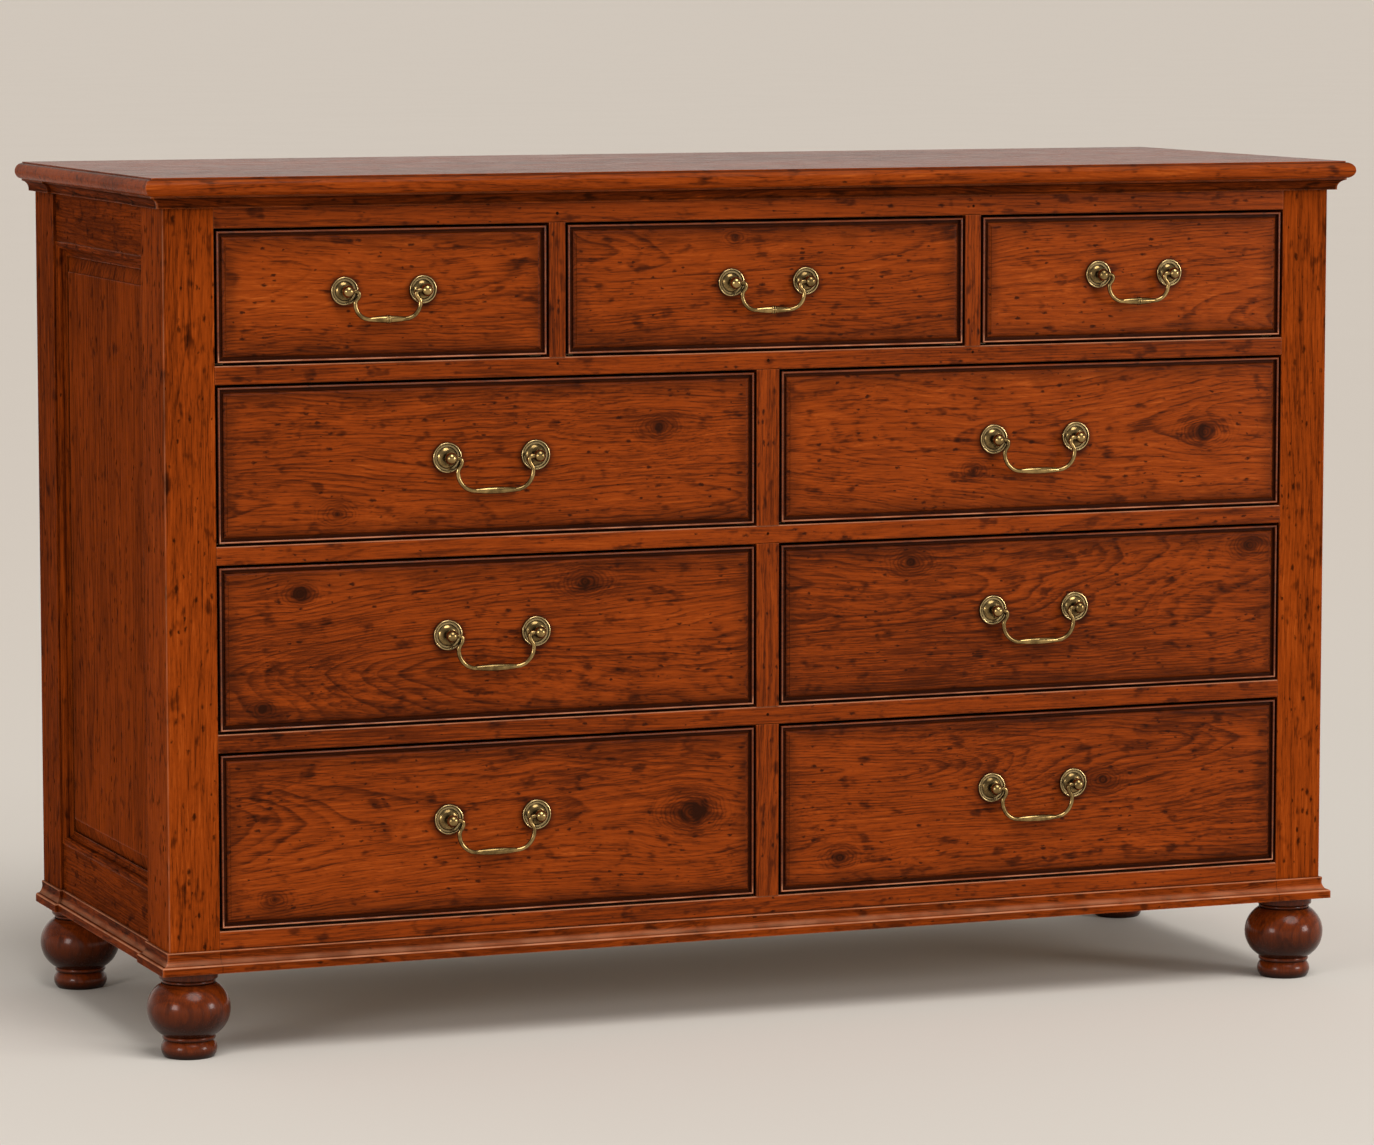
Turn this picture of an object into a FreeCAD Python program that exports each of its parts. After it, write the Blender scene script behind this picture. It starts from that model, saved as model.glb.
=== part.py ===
import FreeCAD, Part
import math
import os

import Sketcher

# A dresser with nine drawers: three over three rows of two, on turned bun feet.
# X runs to the right along the front, Y to the back and Z up from the floor.
# The origin is on the floor, under the middle of the top board.

SIZES = {
    # carcase and the stack of rails and drawer rows, from the floor up
    "carcase_width": 1390.0,
    "carcase_depth": 520.0,
    "foot_height": 95.0,
    "bottom_rail_height": 44.0,
    "lower_row": 194.0,
    "middle_row": 183.0,
    "upper_row": 174.0,
    "top_row": 147.0,
    "rail_height": 20.0,
    "top_rail_height": 35.5,
    # front frame
    "post_face": 57.0,
    "front_post_side": 82.0,
    "rear_post_side": 74.0,
    "rail_depth": 50.0,
    "divider_width": 19.0,
    "divider_depth": 30.0,
    "centre_stile_width": 27.0,
    "top_centre_opening": 478.0,
    "arris": 1.0,
    "post_arris": 2.0,
    # top board: a half-round nose with a small step up to the flat
    "top_thickness": 19.5,
    "top_overhang": 24.0,
    "top_step": 1.5,
    # cornice under the top: fillet, cove, fillet
    "cornice_height": 13.5,
    "cornice_reach": 16.0,
    "cornice_foot": 8.0,
    "cornice_fillet": 2.0,
    "cornice_cove": 9.5,
    # base moulding: round-edged band, cove, fillet
    "base_height": 24.0,
    "base_reach": 10.0,
    "base_band": 10.0,
    "base_round": 3.0,
    "base_shelf": 1.0,
    "base_top_reach": 2.5,
    "base_fillet": 2.5,
    "base_cove": 12.0,
    # bun feet
    "foot_inset": 30.0,
    "rear_foot_inset": 45.0,
    "bun_radius": 45.5,
    "bun_low": 24.5,
    "bun_high": 81.0,
    "bun_throat": 29.5,
    "collar_radius": 32.0,
    "collar_round": 2.0,
    "collar_quirk": 2.0,
    "collar_bead": 4.4,
    "collar_bead_rise": 1.8,
    "neck_radius": 26.5,
    "neck_bead": 6.0,
    "neck_bead_rise": 2.5,
    "ring_radius": 30.5,
    "ring_middle": 9.0,
    "ring_high": 16.0,
    "ring_shoulder": 2.0,
    "ring_toe": 4.0,
    "spigot_radius": 12.0,
    "spigot_length": 28.0,
    "spigot_clearance": 0.1,
    "spigot_room": 2.0,
    # side frames, set back a little between the posts
    "side_setback": 4.0,
    "side_thickness": 22.0,
    "side_top_rail": 68.5,
    "side_bottom_rail": 78.0,
    "panel_thickness": 14.0,
    "panel_recess": 5.0,
    "panel_rise": 5.5,
    "panel_step": 1.5,
    "panel_bevel": 17.0,
    "stick_width": 16.0,
    "stick_proud": 1.0,
    "stick_lip": 3.0,
    "stick_round": 5.0,
    "stick_quirk": 1.5,
    "stick_toe": 3.0,
    "stick_toe_height": 2.5,
    "stick_cove": 4.5,
    # back, runners, guides and kickers
    "back_thickness": 6.0,
    "back_rebate": 10.0,
    "back_clearance": 0.3,
    "rear_rail_depth": 40.0,
    "runner_width": 26.0,
    "guide_height": 25.0,
    # drawers
    "drawer_gap": 3.0,
    "runner_clearance": 0.3,
    "front_thickness": 20.0,
    "bead_width": 2.5,
    "groove_width": 3.4,
    "groove_depth": 4.0,
    "field_quirk": 1.0,
    "field_bevel": 4.2,
    "field_step": 0.5,
    "field_round": 4.4,
    "box_thickness": 12.0,
    "box_drop": 8.0,
    "box_rear_room": 20.0,
    "tail_length": 11.0,
    "tail_pin": 9.0,
    "tail_slope": 6.0,
    "tail_pitch": 36.0,
    "bottom_thickness": 6.0,
    "bottom_raise": 12.0,
    "bottom_groove": 6.0,
    # pulls: rosettes, ball posts and bails
    "pull_below_top": 86.0,
    "top_pull_below_top": 69.5,
    "pull_spread": 102.0,
    "top_pull_spread": 89.0,
    "pull_drop": 36.0,
    "top_pull_drop": 30.5,
    "pull_bend": 20.5,
    "top_pull_bend": 17.5,
    "rose_radius": 16.5,
    "top_rose_radius": 15.3,
    "rose_rim": 2.0,
    "rose_rim_height": 1.4,
    "rose_groove": 2.4,
    "rose_groove_height": 1.0,
    "rose_crown": 4.6,
    "rose_flat_radius": 4.8,
    "rose_dome_round": 9.0,
    "post_neck_radius": 3.6,
    "ball_radius": 6.8,
    "ball_reach": 14.0,
    "stem_radius": 2.4,
    "stem_clearance": 0.1,
    "stem_beyond_nut": 2.0,
    "nut_flats": 8.0,
    "nut_thickness": 4.0,
    "bail_radius": 2.5,
    "bail_clearance": 0.05,
    "bail_pin_in": 1.5,
    "pin_end_room": 0.5,
    "bail_elbow_out": 12.0,
    "bail_elbow_bend": 3.4,
    "bail_neck_out": 7.6,
    "bail_swell": 4.3,
    "bail_ring_width": 2.4,
    "bail_ring_rise": 0.7,
    # how far a cutter runs past the surface that it starts from
    "cutter_clear": 1.0,
}

doc = FreeCAD.newDocument("dresser")
sheet = doc.addObject("Spreadsheet::Sheet", "Sizes")
for line, (alias, size) in enumerate(SIZES.items(), start=1):
    sheet.set(f"A{line}", alias)
    sheet.set(f"B{line}", str(size))
    sheet.setAlias(f"B{line}", alias)
doc.recompute()

# Planes that the pieces share, as expressions on the sheet.
HALF = "(Sizes.carcase_width / 2)"
FACE = "((Sizes.top_overhang - Sizes.carcase_depth) / 2)"
BACK = "((Sizes.top_overhang + Sizes.carcase_depth) / 2)"
JAMB = "(Sizes.carcase_width / 2 - Sizes.post_face)"
BASE = "Sizes.foot_height"
LOWER = f"({BASE} + Sizes.bottom_rail_height)"
MIDDLE = f"({LOWER} + Sizes.lower_row + Sizes.rail_height)"
UPPER = f"({MIDDLE} + Sizes.middle_row + Sizes.rail_height)"
TOP_ROW = f"({UPPER} + Sizes.upper_row + Sizes.rail_height)"
TOP_RAIL = f"({TOP_ROW} + Sizes.top_row)"
UNDER_TOP = f"({TOP_RAIL} + Sizes.top_rail_height)"
CLEAR = "Sizes.cutter_clear"
PAIR_WIDTH = f"({JAMB} - Sizes.centre_stile_width / 2)"
PAIR_CENTRE = f"({JAMB} / 2 + Sizes.centre_stile_width / 4)"
END_LEFT_EDGE = "(Sizes.top_centre_opening / 2 + Sizes.divider_width)"
END_WIDTH = f"({JAMB} - {END_LEFT_EDGE})"
END_CENTRE = f"(({JAMB} + {END_LEFT_EDGE}) / 2)"

nodes = []


def number(expression):
    return float(sheet.evalExpression(expression))


def plane_of(body, role):
    return next(plane for plane in body.Origin.OriginFeatures if plane.Role == role)


def arc_between(start, end, radius, bow):
    """The shorter arc from start to end; bow is 1 to the right of the way along, -1 to the left."""
    chord = end - start
    to_left = FreeCAD.Vector(-chord.y, chord.x, 0).normalize()
    rise = radius - math.sqrt(max(radius ** 2 - chord.Length ** 2 / 4, 0))
    return Part.Arc(start, (start + end) * 0.5 - to_left * (bow * rise), end)


def draw(body, name, role, corners, arcs=None, offset=None, closed=True):
    """A sketch through corners, with the arcs {segment: (radius, bow)}, all bound to the sheet."""
    arcs = arcs or {}
    sketch = body.newObject("Sketcher::SketchObject", name)
    sketch.AttachmentSupport = [(plane_of(body, role), "")]
    sketch.MapMode = "FlatFace"
    for axis, expression in (offset or {}).items():
        sketch.setExpression(f"AttachmentOffset.Base.{axis}", expression)
    spots = [FreeCAD.Vector(number(across), number(up), 0) for across, up in corners]
    count = len(spots) if closed else len(spots) - 1
    for segment in range(count):
        start = spots[segment]
        end = spots[(segment + 1) % len(spots)]
        if segment in arcs:
            radius, bow = arcs[segment]
            sketch.addGeometry(arc_between(start, end, number(radius), bow))
        else:
            sketch.addGeometry(Part.LineSegment(start, end))

    def end_at(segment, spot):
        return min((1, 2), key=lambda end: (sketch.getPoint(segment, end) - spot).Length)

    rules = []
    bindings = []
    for segment in range(count if closed else count - 1):
        following = (segment + 1) % count
        spot = spots[(segment + 1) % len(spots)]
        rules.append(Sketcher.Constraint("Coincident", segment, end_at(segment, spot),
                                         following, end_at(following, spot)))
    for corner, spot in enumerate(spots):
        segment = min(corner, count - 1)
        end = end_at(segment, spot)
        for kind, expression, value in zip(("DistanceX", "DistanceY"), corners[corner], spot):
            bindings.append((len(rules), expression))
            rules.append(Sketcher.Constraint(kind, -1, 1, segment, end, value))
    for segment, (radius, bow) in arcs.items():
        bindings.append((len(rules), radius))
        rules.append(Sketcher.Constraint("Radius", segment, number(radius)))
    sketch.addConstraint(rules)
    for rule, expression in bindings:
        sketch.setExpression(f"Constraints[{rule}]", expression)
    return sketch


def circle(body, name, role, centre, radius, offset=None):
    """A sketch of one circle, bound to the sheet."""
    sketch = body.newObject("Sketcher::SketchObject", name)
    sketch.AttachmentSupport = [(plane_of(body, role), "")]
    sketch.MapMode = "FlatFace"
    for axis, expression in (offset or {}).items():
        sketch.setExpression(f"AttachmentOffset.Base.{axis}", expression)
    spot = FreeCAD.Vector(number(centre[0]), number(centre[1]), 0)
    sketch.addGeometry(Part.Circle(spot, FreeCAD.Vector(0, 0, 1), number(radius)))
    sketch.addConstraint([
        Sketcher.Constraint("DistanceX", -1, 1, 0, 3, spot.x),
        Sketcher.Constraint("DistanceY", -1, 1, 0, 3, spot.y),
        Sketcher.Constraint("Radius", 0, number(radius)),
    ])
    for rule, expression in enumerate((centre[0], centre[1], radius)):
        sketch.setExpression(f"Constraints[{rule}]", expression)
    return sketch


def new_body(name):
    return doc.addObject("PartDesign::Body", name)


def pad(body, profile, length, backwards=False):
    feature = body.newObject("PartDesign::Pad", "pad")
    feature.Profile = profile
    feature.setExpression("Length", length)
    feature.Reversed = backwards
    return feature


def cut_through(body, profile, backwards=False):
    feature = body.newObject("PartDesign::Pocket", "pocket")
    feature.Profile = profile
    feature.Type = "ThroughAll"
    feature.Reversed = backwards
    return feature


def cut_deep(body, profile, depth, backwards=False):
    feature = body.newObject("PartDesign::Pocket", "pocket")
    feature.Profile = profile
    feature.setExpression("Length", depth)
    feature.Reversed = backwards
    return feature


def revolve(body, profile, axis):
    feature = body.newObject("PartDesign::Revolution", "revolution")
    feature.Profile = profile
    feature.ReferenceAxis = (profile, [axis])
    feature.Angle = 360
    return feature


def run_along(body, kind, profile, path):
    """Run a profile along a path with mitred corners, to add or to cut away."""
    feature = body.newObject(f"PartDesign::{kind}", "run")
    feature.Profile = profile
    edges = [f"Edge{edge}" for edge in range(1, path.GeometryCount + 1)]
    feature.Spine = (path, edges)
    feature.Transition = "Right corner"
    return feature


def board(name, x, y, z):
    """A plain board between the low and high expressions given for each direction."""
    box = doc.addObject("Part::Box", name)
    for side, axis, (low, high) in zip(("Length", "Width", "Height"), "xyz", (x, y, z)):
        box.setExpression(side, f"({high}) - ({low})")
        box.setExpression(f"Placement.Base.{axis}", low)
    return box


def group(name, pieces):
    """Separate solids that belong together."""
    holder = doc.addObject("Part::Compound", name)
    holder.Links = pieces
    return holder


def placed(name, piece, x="0", y="0", z="0", turn=None):
    """A copy of a piece at a place bound to the sheet."""
    holder = group(name, [piece])
    if turn:
        holder.Placement = FreeCAD.Placement(FreeCAD.Vector(), turn)
    for axis, expression in zip("xyz", (x, y, z)):
        holder.setExpression(f"Placement.Base.{axis}", expression)
    return holder


def mirrored(name, piece):
    """The same piece on the other side of the middle."""
    twin = doc.addObject("Part::Mirroring", name)
    twin.Source = piece
    twin.Normal = FreeCAD.Vector(1, 0, 0)
    return twin


def node(label, piece):
    piece.Label = label
    nodes.append(piece)
    return piece


def eased_rail(name, low, high):
    """A rail across the front between the posts, with its front arrises eased."""
    body = new_body(name)
    depth = f"({FACE} + Sizes.rail_depth)"
    eased = f"({FACE} + Sizes.arris)"
    section = draw(body, "section", "YZ_Plane", [
        (depth, low), (eased, low), (FACE, f"{low} + Sizes.arris"),
        (FACE, f"{high} - Sizes.arris"), (eased, high), (depth, high),
    ], arcs={1: ("Sizes.arris", 1), 3: ("Sizes.arris", 1)}, offset={"z": f"-{JAMB}"})
    pad(body, section, f"2 * {JAMB}")
    return body


def eased_stile(name, left, right, low, high):
    """An upright between two rails, with its front arrises eased."""
    body = new_body(name)
    depth = f"({FACE} + Sizes.divider_depth)"
    eased = f"({FACE} + Sizes.arris)"
    section = draw(body, "section", "XY_Plane", [
        (right, depth), (left, depth), (left, eased), (f"{left} + Sizes.arris", FACE),
        (f"{right} - Sizes.arris", FACE), (right, eased),
    ], arcs={2: ("Sizes.arris", 1), 4: ("Sizes.arris", 1)}, offset={"z": low})
    pad(body, section, f"({high}) - ({low})")
    return body


def make_front_frame():
    node("top_rail", eased_rail("top_rail", TOP_RAIL, UNDER_TOP))
    node("bottom_rail", eased_rail("bottom_rail", BASE, LOWER))
    rails = [eased_rail(f"drawer_rail_{row}", f"({above} - Sizes.rail_height)", above)
             for row, above in (("top", TOP_ROW), ("upper", UPPER), ("middle", MIDDLE))]
    node("drawer_rails", group("drawer_rails", rails))
    inner = "(Sizes.top_centre_opening / 2)"
    right = eased_stile("right_divider", inner, END_LEFT_EDGE, TOP_ROW, TOP_RAIL)
    node("top_row_dividers", group("top_row_dividers", [right, mirrored("left_divider", right)]))
    edge = "Sizes.centre_stile_width / 2"
    stiles = [eased_stile(f"centre_stile_{row}", f"-{edge}", edge, low, f"{low} + Sizes.{row}_row")
              for row, low in (("upper", UPPER), ("middle", MIDDLE), ("lower", LOWER))]
    node("centre_stiles", group("centre_stiles", stiles))


def bore_for_foot(body, depth_from_floor, inset):
    """The socket in a post's lower end that takes the foot's spigot."""
    centre = (f"{HALF} - Sizes.foot_inset", inset)
    socket = circle(body, "socket", "XY_Plane", centre, "Sizes.spigot_radius + Sizes.spigot_clearance",
                    offset={"z": depth_from_floor})
    cut_deep(body, socket, "Sizes.spigot_length + Sizes.spigot_room", backwards=True)


def make_posts():
    height = f"{UNDER_TOP} - {BASE}"
    rear = f"({FACE} + Sizes.front_post_side)"
    front = new_body("front_post")
    section = draw(front, "section", "XY_Plane", [
        (JAMB, rear), (JAMB, f"{FACE} + Sizes.arris"), (f"{JAMB} + Sizes.arris", FACE),
        (f"{HALF} - Sizes.post_arris", FACE), (HALF, f"{FACE} + Sizes.post_arris"),
        (HALF, f"{rear} - Sizes.arris"), (f"{HALF} - Sizes.arris", rear),
    ], arcs={1: ("Sizes.arris", 1), 3: ("Sizes.post_arris", 1), 5: ("Sizes.arris", 1)},
        offset={"z": BASE})
    pad(front, section, height)
    bore_for_foot(front, BASE, f"{FACE} + Sizes.foot_inset")

    edge = f"({BACK} - Sizes.rear_post_side)"
    rebate = f"({BACK} - Sizes.back_thickness)"
    back = new_body("rear_post")
    section = draw(back, "section", "XY_Plane", [
        (JAMB, rebate), (JAMB, edge), (f"{HALF} - Sizes.arris", edge), (HALF, f"{edge} + Sizes.arris"),
        (HALF, BACK), (f"{JAMB} + Sizes.back_rebate", BACK), (f"{JAMB} + Sizes.back_rebate", rebate),
    ], arcs={2: ("Sizes.arris", 1)}, offset={"z": BASE})
    pad(back, section, height)
    bore_for_foot(back, BASE, f"{BACK} - Sizes.rear_foot_inset")

    node("front_right_post", front)
    node("front_left_post", mirrored("front_left_post", front))
    node("rear_right_post", back)
    node("rear_left_post", mirrored("rear_left_post", back))


def make_top_board():
    body = new_body("top_board")
    end = f"({HALF} + Sizes.top_overhang)"
    front = f"({FACE} - Sizes.top_overhang)"
    nose = "((Sizes.top_thickness - Sizes.top_step) / 2)"
    surface = f"({UNDER_TOP} + Sizes.top_thickness)"
    past = f"({BACK} + {CLEAR})"
    outline = draw(body, "outline", "XY_Plane", [
        (f"-{end}", front), (end, front), (end, BACK), (f"-{end}", BACK),
    ], offset={"z": UNDER_TOP})
    pad(body, outline, "Sizes.top_thickness")
    path = draw(body, "edge", "XY_Plane", [
        (f"-{end}", past), (f"-{end}", front), (end, front), (end, past),
    ], offset={"z": UNDER_TOP}, closed=False)
    cutter = draw(body, "nose", "XZ_Plane", [
        (f"-{end} - {CLEAR}", f"{UNDER_TOP} - {CLEAR}"), (f"-{end} + {nose}", f"{UNDER_TOP} - {CLEAR}"),
        (f"-{end} + {nose}", UNDER_TOP), (f"-{end}", f"{UNDER_TOP} + {nose}"),
        (f"-{end} + {nose}", f"{UNDER_TOP} + 2 * {nose}"), (f"-{end} + {nose}", f"{surface} + {CLEAR}"),
        (f"-{end} - {CLEAR}", f"{surface} + {CLEAR}"),
    ], arcs={2: (nose, -1), 3: (nose, -1)}, offset={"z": f"-{past}"})
    run_along(body, "SubtractivePipe", cutter, path)
    node("top_board", body)


def cornice_section(face, way):
    """Corners and arcs of the cornice: way is the sign that leads outwards from the face."""
    low = f"({UNDER_TOP} - Sizes.cornice_height)"
    foot = f"{face} {way} Sizes.cornice_foot"
    reach = f"{face} {way} Sizes.cornice_reach"
    corners = [
        (face, low), (foot, low), (foot, f"{low} + Sizes.cornice_fillet"),
        (reach, f"{UNDER_TOP} - Sizes.cornice_fillet"), (reach, UNDER_TOP), (face, UNDER_TOP),
    ]
    return corners, {2: ("Sizes.cornice_cove", 1 if way == "-" else -1)}


def base_section(face, way):
    """Corners and arcs of the base moulding: way is the sign that leads outwards from the face."""
    band = f"({BASE} + Sizes.base_band)"
    high = f"({BASE} + Sizes.base_height)"
    reach = f"{face} {way} Sizes.base_reach"
    rounded = f"{face} {way} (Sizes.base_reach - Sizes.base_round)"
    shelf = f"{face} {way} (Sizes.base_reach - Sizes.base_round - Sizes.base_shelf)"
    top = f"{face} {way} Sizes.base_top_reach"
    corners = [
        (face, BASE), (reach, BASE), (reach, f"{band} - Sizes.base_round"), (rounded, band),
        (shelf, band), (top, f"{high} - Sizes.base_fillet"), (top, high), (face, high),
    ]
    inward = 1 if way == "-" else -1
    return corners, {2: ("Sizes.base_round", -inward), 4: ("Sizes.base_cove", inward)}


def make_moulding(label, section_of, reach):
    """A moulding in three mitred sticks; the end sticks step round the posts."""
    past = f"({reach} + {CLEAR})"
    front = new_body(f"{label}_front")
    corners, arcs = section_of(FACE, "-")
    section = draw(front, "section", "YZ_Plane", corners, arcs, offset={"z": f"-({HALF} + {past})"})
    pad(front, section, f"2 * ({HALF} + {past})")
    for side in ("", "-"):
        mitre = draw(front, "mitre", "XY_Plane", [
            (f"{side}({HALF} - {CLEAR})", f"{FACE} + {CLEAR}"),
            (f"{side}({HALF} + {past})", f"{FACE} - {past}"),
            (f"{side}({HALF} + {past})", f"{FACE} + {CLEAR}"),
        ])
        cut_through(front, mitre, backwards=True)

    right = new_body(f"{label}_right")
    start = f"({FACE} - {past})"
    front_post_edge = f"({FACE} + Sizes.front_post_side)"
    rear_post_edge = f"({BACK} - Sizes.rear_post_side)"
    path = draw(right, "path", "XY_Plane", [
        (HALF, start), (HALF, front_post_edge), (f"{HALF} - Sizes.side_setback", front_post_edge),
        (f"{HALF} - Sizes.side_setback", rear_post_edge), (HALF, rear_post_edge), (HALF, BACK),
    ], offset={"z": BASE}, closed=False)
    corners, arcs = section_of(HALF, "+")
    section = draw(right, "section", "XZ_Plane", corners, arcs, offset={"z": f"-{start}"})
    run_along(right, "AdditivePipe", section, path)
    mitre = draw(right, "mitre", "XY_Plane", [
        (f"{HALF} - {CLEAR}", f"{FACE} + {CLEAR}"),
        (f"{HALF} - {CLEAR}", f"{start} - {CLEAR}"),
        (f"{HALF} + {past} + {CLEAR}", f"{start} - {CLEAR}"),
    ])
    cut_through(right, mitre, backwards=True)
    node(label, group(label, [front, right, mirrored(f"{label}_left", right)]))


def bow_radius(half_chord, rise):
    """The radius of an arc that rises that far over its half chord."""
    return f"(({half_chord}) ^ 2 + ({rise}) ^ 2) / (2 * ({rise}))"


def make_feet():
    """Four turned feet: ring, bead, bun, bead and collar, with a spigot that goes up into the post."""
    body = new_body("bun_foot")
    bead_root = "(Sizes.bun_throat - Sizes.collar_quirk)"
    collar_low = "(Sizes.bun_high + Sizes.collar_bead)"
    spigot_top = f"{BASE} + Sizes.spigot_length"
    profile = draw(body, "profile", "XZ_Plane", [
        ("0", "0"), ("Sizes.ring_radius - Sizes.ring_toe", "0"), ("Sizes.ring_radius", "Sizes.ring_middle"),
        ("Sizes.ring_radius - Sizes.ring_shoulder", "Sizes.ring_high"),
        ("Sizes.neck_radius", "Sizes.bun_low - Sizes.neck_bead"), ("Sizes.neck_radius", "Sizes.bun_low"),
        ("Sizes.bun_throat", "Sizes.bun_low"), ("Sizes.bun_throat", "Sizes.bun_high"),
        (bead_root, "Sizes.bun_high"), (bead_root, collar_low),
        ("Sizes.collar_radius - Sizes.collar_round", collar_low),
        ("Sizes.collar_radius", f"{collar_low} + Sizes.collar_round"), ("Sizes.collar_radius", BASE),
        ("Sizes.spigot_radius", BASE), ("Sizes.spigot_radius", spigot_top), ("0", spigot_top),
    ], arcs={
        1: (bow_radius("Sizes.ring_middle", "Sizes.ring_toe"), 1),
        2: (bow_radius("Sizes.ring_high - Sizes.ring_middle", "Sizes.ring_shoulder"), 1),
        4: (bow_radius("Sizes.neck_bead / 2", "Sizes.neck_bead_rise"), 1),
        6: (bow_radius("(Sizes.bun_high - Sizes.bun_low) / 2", "Sizes.bun_radius - Sizes.bun_throat"), 1),
        8: (bow_radius("Sizes.collar_bead / 2", "Sizes.collar_bead_rise"), 1),
        10: ("Sizes.collar_round", 1),
    })
    revolve(body, profile, "V_Axis")
    across = f"{HALF} - Sizes.foot_inset"
    feet = []
    for row, along in (("front", f"{FACE} + Sizes.foot_inset"), ("rear", f"{BACK} - Sizes.rear_foot_inset")):
        feet.append(placed(f"{row}_left_foot", body, f"-({across})", along))
        feet.append(placed(f"{row}_right_foot", body, across, along))
    node("bun_feet", group("bun_feet", feet))


# Side frames: their outer face, the opening between posts and rails, and the panel's planes.
RAIL_FACE = f"({HALF} - Sizes.side_setback)"
PANEL_FRONT = f"({FACE} + Sizes.front_post_side)"
PANEL_REAR = f"({BACK} - Sizes.rear_post_side)"
PANEL_LOW = f"({BASE} + Sizes.side_bottom_rail)"
PANEL_HIGH = f"({UNDER_TOP} - Sizes.side_top_rail)"
FIELD = f"({RAIL_FACE} - Sizes.panel_recess)"
MARGIN = f"({FIELD} - Sizes.panel_rise)"


def panel_stick(name, length):
    """One mitred stick of the panel moulding, lying along X with its frame edge on the X axis."""
    body = new_body(name)
    height = f"({RAIL_FACE} - {MARGIN} + Sizes.stick_proud)"
    round_end = "(Sizes.stick_lip + Sizes.stick_round)"
    step = f"({height} - Sizes.stick_round)"
    toe = "(Sizes.stick_width - Sizes.stick_toe)"
    section = draw(body, "section", "YZ_Plane", [
        ("0", "0"), ("0", height), ("Sizes.stick_lip", height), (round_end, step),
        (round_end, f"{step} - Sizes.stick_quirk"), (toe, "Sizes.stick_toe_height"),
        ("Sizes.stick_width", "Sizes.stick_toe_height"), ("Sizes.stick_width", "0"),
    ], arcs={2: ("Sizes.stick_round", -1), 4: ("Sizes.stick_cove", 1)}, offset={"z": f"-({length}) / 2"})
    pad(body, section, length)
    for side in ("", "-"):
        mitre = draw(body, "mitre", "XY_Plane", [
            (f"{side}(({length}) / 2 + {CLEAR})", f"-{CLEAR}"),
            (f"{side}(({length}) / 2 + {CLEAR})", f"Sizes.stick_width + {CLEAR}"),
            (f"{side}(({length}) / 2 - Sizes.stick_width - {CLEAR})", f"Sizes.stick_width + {CLEAR}"),
        ])
        cut_through(body, mitre, backwards=True)
    return body


def make_side_frames():
    inner = f"({RAIL_FACE} - Sizes.side_thickness)"
    rails = []
    for name, low, high in (("upper", PANEL_HIGH, UNDER_TOP), ("lower", BASE, PANEL_LOW)):
        rails.append(board(f"{name}_side_rail", (inner, RAIL_FACE), (PANEL_FRONT, PANEL_REAR), (low, high)))
    right = node("right_side_rails", group("right_side_rails", rails))
    node("left_side_rails", mirrored("left_side_rails", right))

    panel = new_body("side_panel")
    opening = [(PANEL_FRONT, PANEL_LOW), (PANEL_REAR, PANEL_LOW), (PANEL_REAR, PANEL_HIGH),
               (PANEL_FRONT, PANEL_HIGH)]
    outline = draw(panel, "outline", "YZ_Plane", opening, offset={"z": f"{FIELD} - Sizes.panel_thickness"})
    pad(panel, outline, "Sizes.panel_thickness")
    path = draw(panel, "edge", "YZ_Plane", opening, offset={"z": FIELD})
    bevel_end = f"{PANEL_LOW} + Sizes.stick_width + Sizes.panel_bevel"
    cutter = draw(panel, "bevel", "XZ_Plane", [
        (f"{FIELD} + {CLEAR}", f"{PANEL_LOW} - {CLEAR}"), (MARGIN, f"{PANEL_LOW} - {CLEAR}"),
        (MARGIN, f"{PANEL_LOW} + Sizes.stick_width"), (f"{FIELD} - Sizes.panel_step", bevel_end),
        (f"{FIELD} + {CLEAR}", bevel_end),
    ], offset={"z": f"-({PANEL_FRONT} + {PANEL_REAR}) / 2"})
    run_along(panel, "SubtractivePipe", cutter, path)
    node("right_side_panel", panel)
    node("left_side_panel", mirrored("left_side_panel", panel))

    level = panel_stick("level_stick", f"{PANEL_REAR} - {PANEL_FRONT}")
    upright = panel_stick("upright_stick", f"{PANEL_HIGH} - {PANEL_LOW}")
    middle = f"({PANEL_FRONT} + {PANEL_REAR}) / 2"
    mid_height = f"({PANEL_LOW} + {PANEL_HIGH}) / 2"
    outward = FreeCAD.Vector(1, 0, 0)
    sticks = []
    for name, piece, along, up, inward in (
            ("lower", level, middle, PANEL_LOW, FreeCAD.Vector(0, 0, 1)),
            ("upper", level, middle, PANEL_HIGH, FreeCAD.Vector(0, 0, -1)),
            ("front", upright, PANEL_FRONT, mid_height, FreeCAD.Vector(0, 1, 0)),
            ("rear", upright, PANEL_REAR, mid_height, FreeCAD.Vector(0, -1, 0))):
        turn = FreeCAD.Rotation(inward.cross(outward), inward, outward, "XYZ")
        sticks.append(placed(f"{name}_panel_stick", piece, MARGIN, along, up, turn))
    right = node("right_panel_moulding", group("right_panel_moulding", sticks))
    node("left_panel_moulding", mirrored("left_panel_moulding", right))


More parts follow.
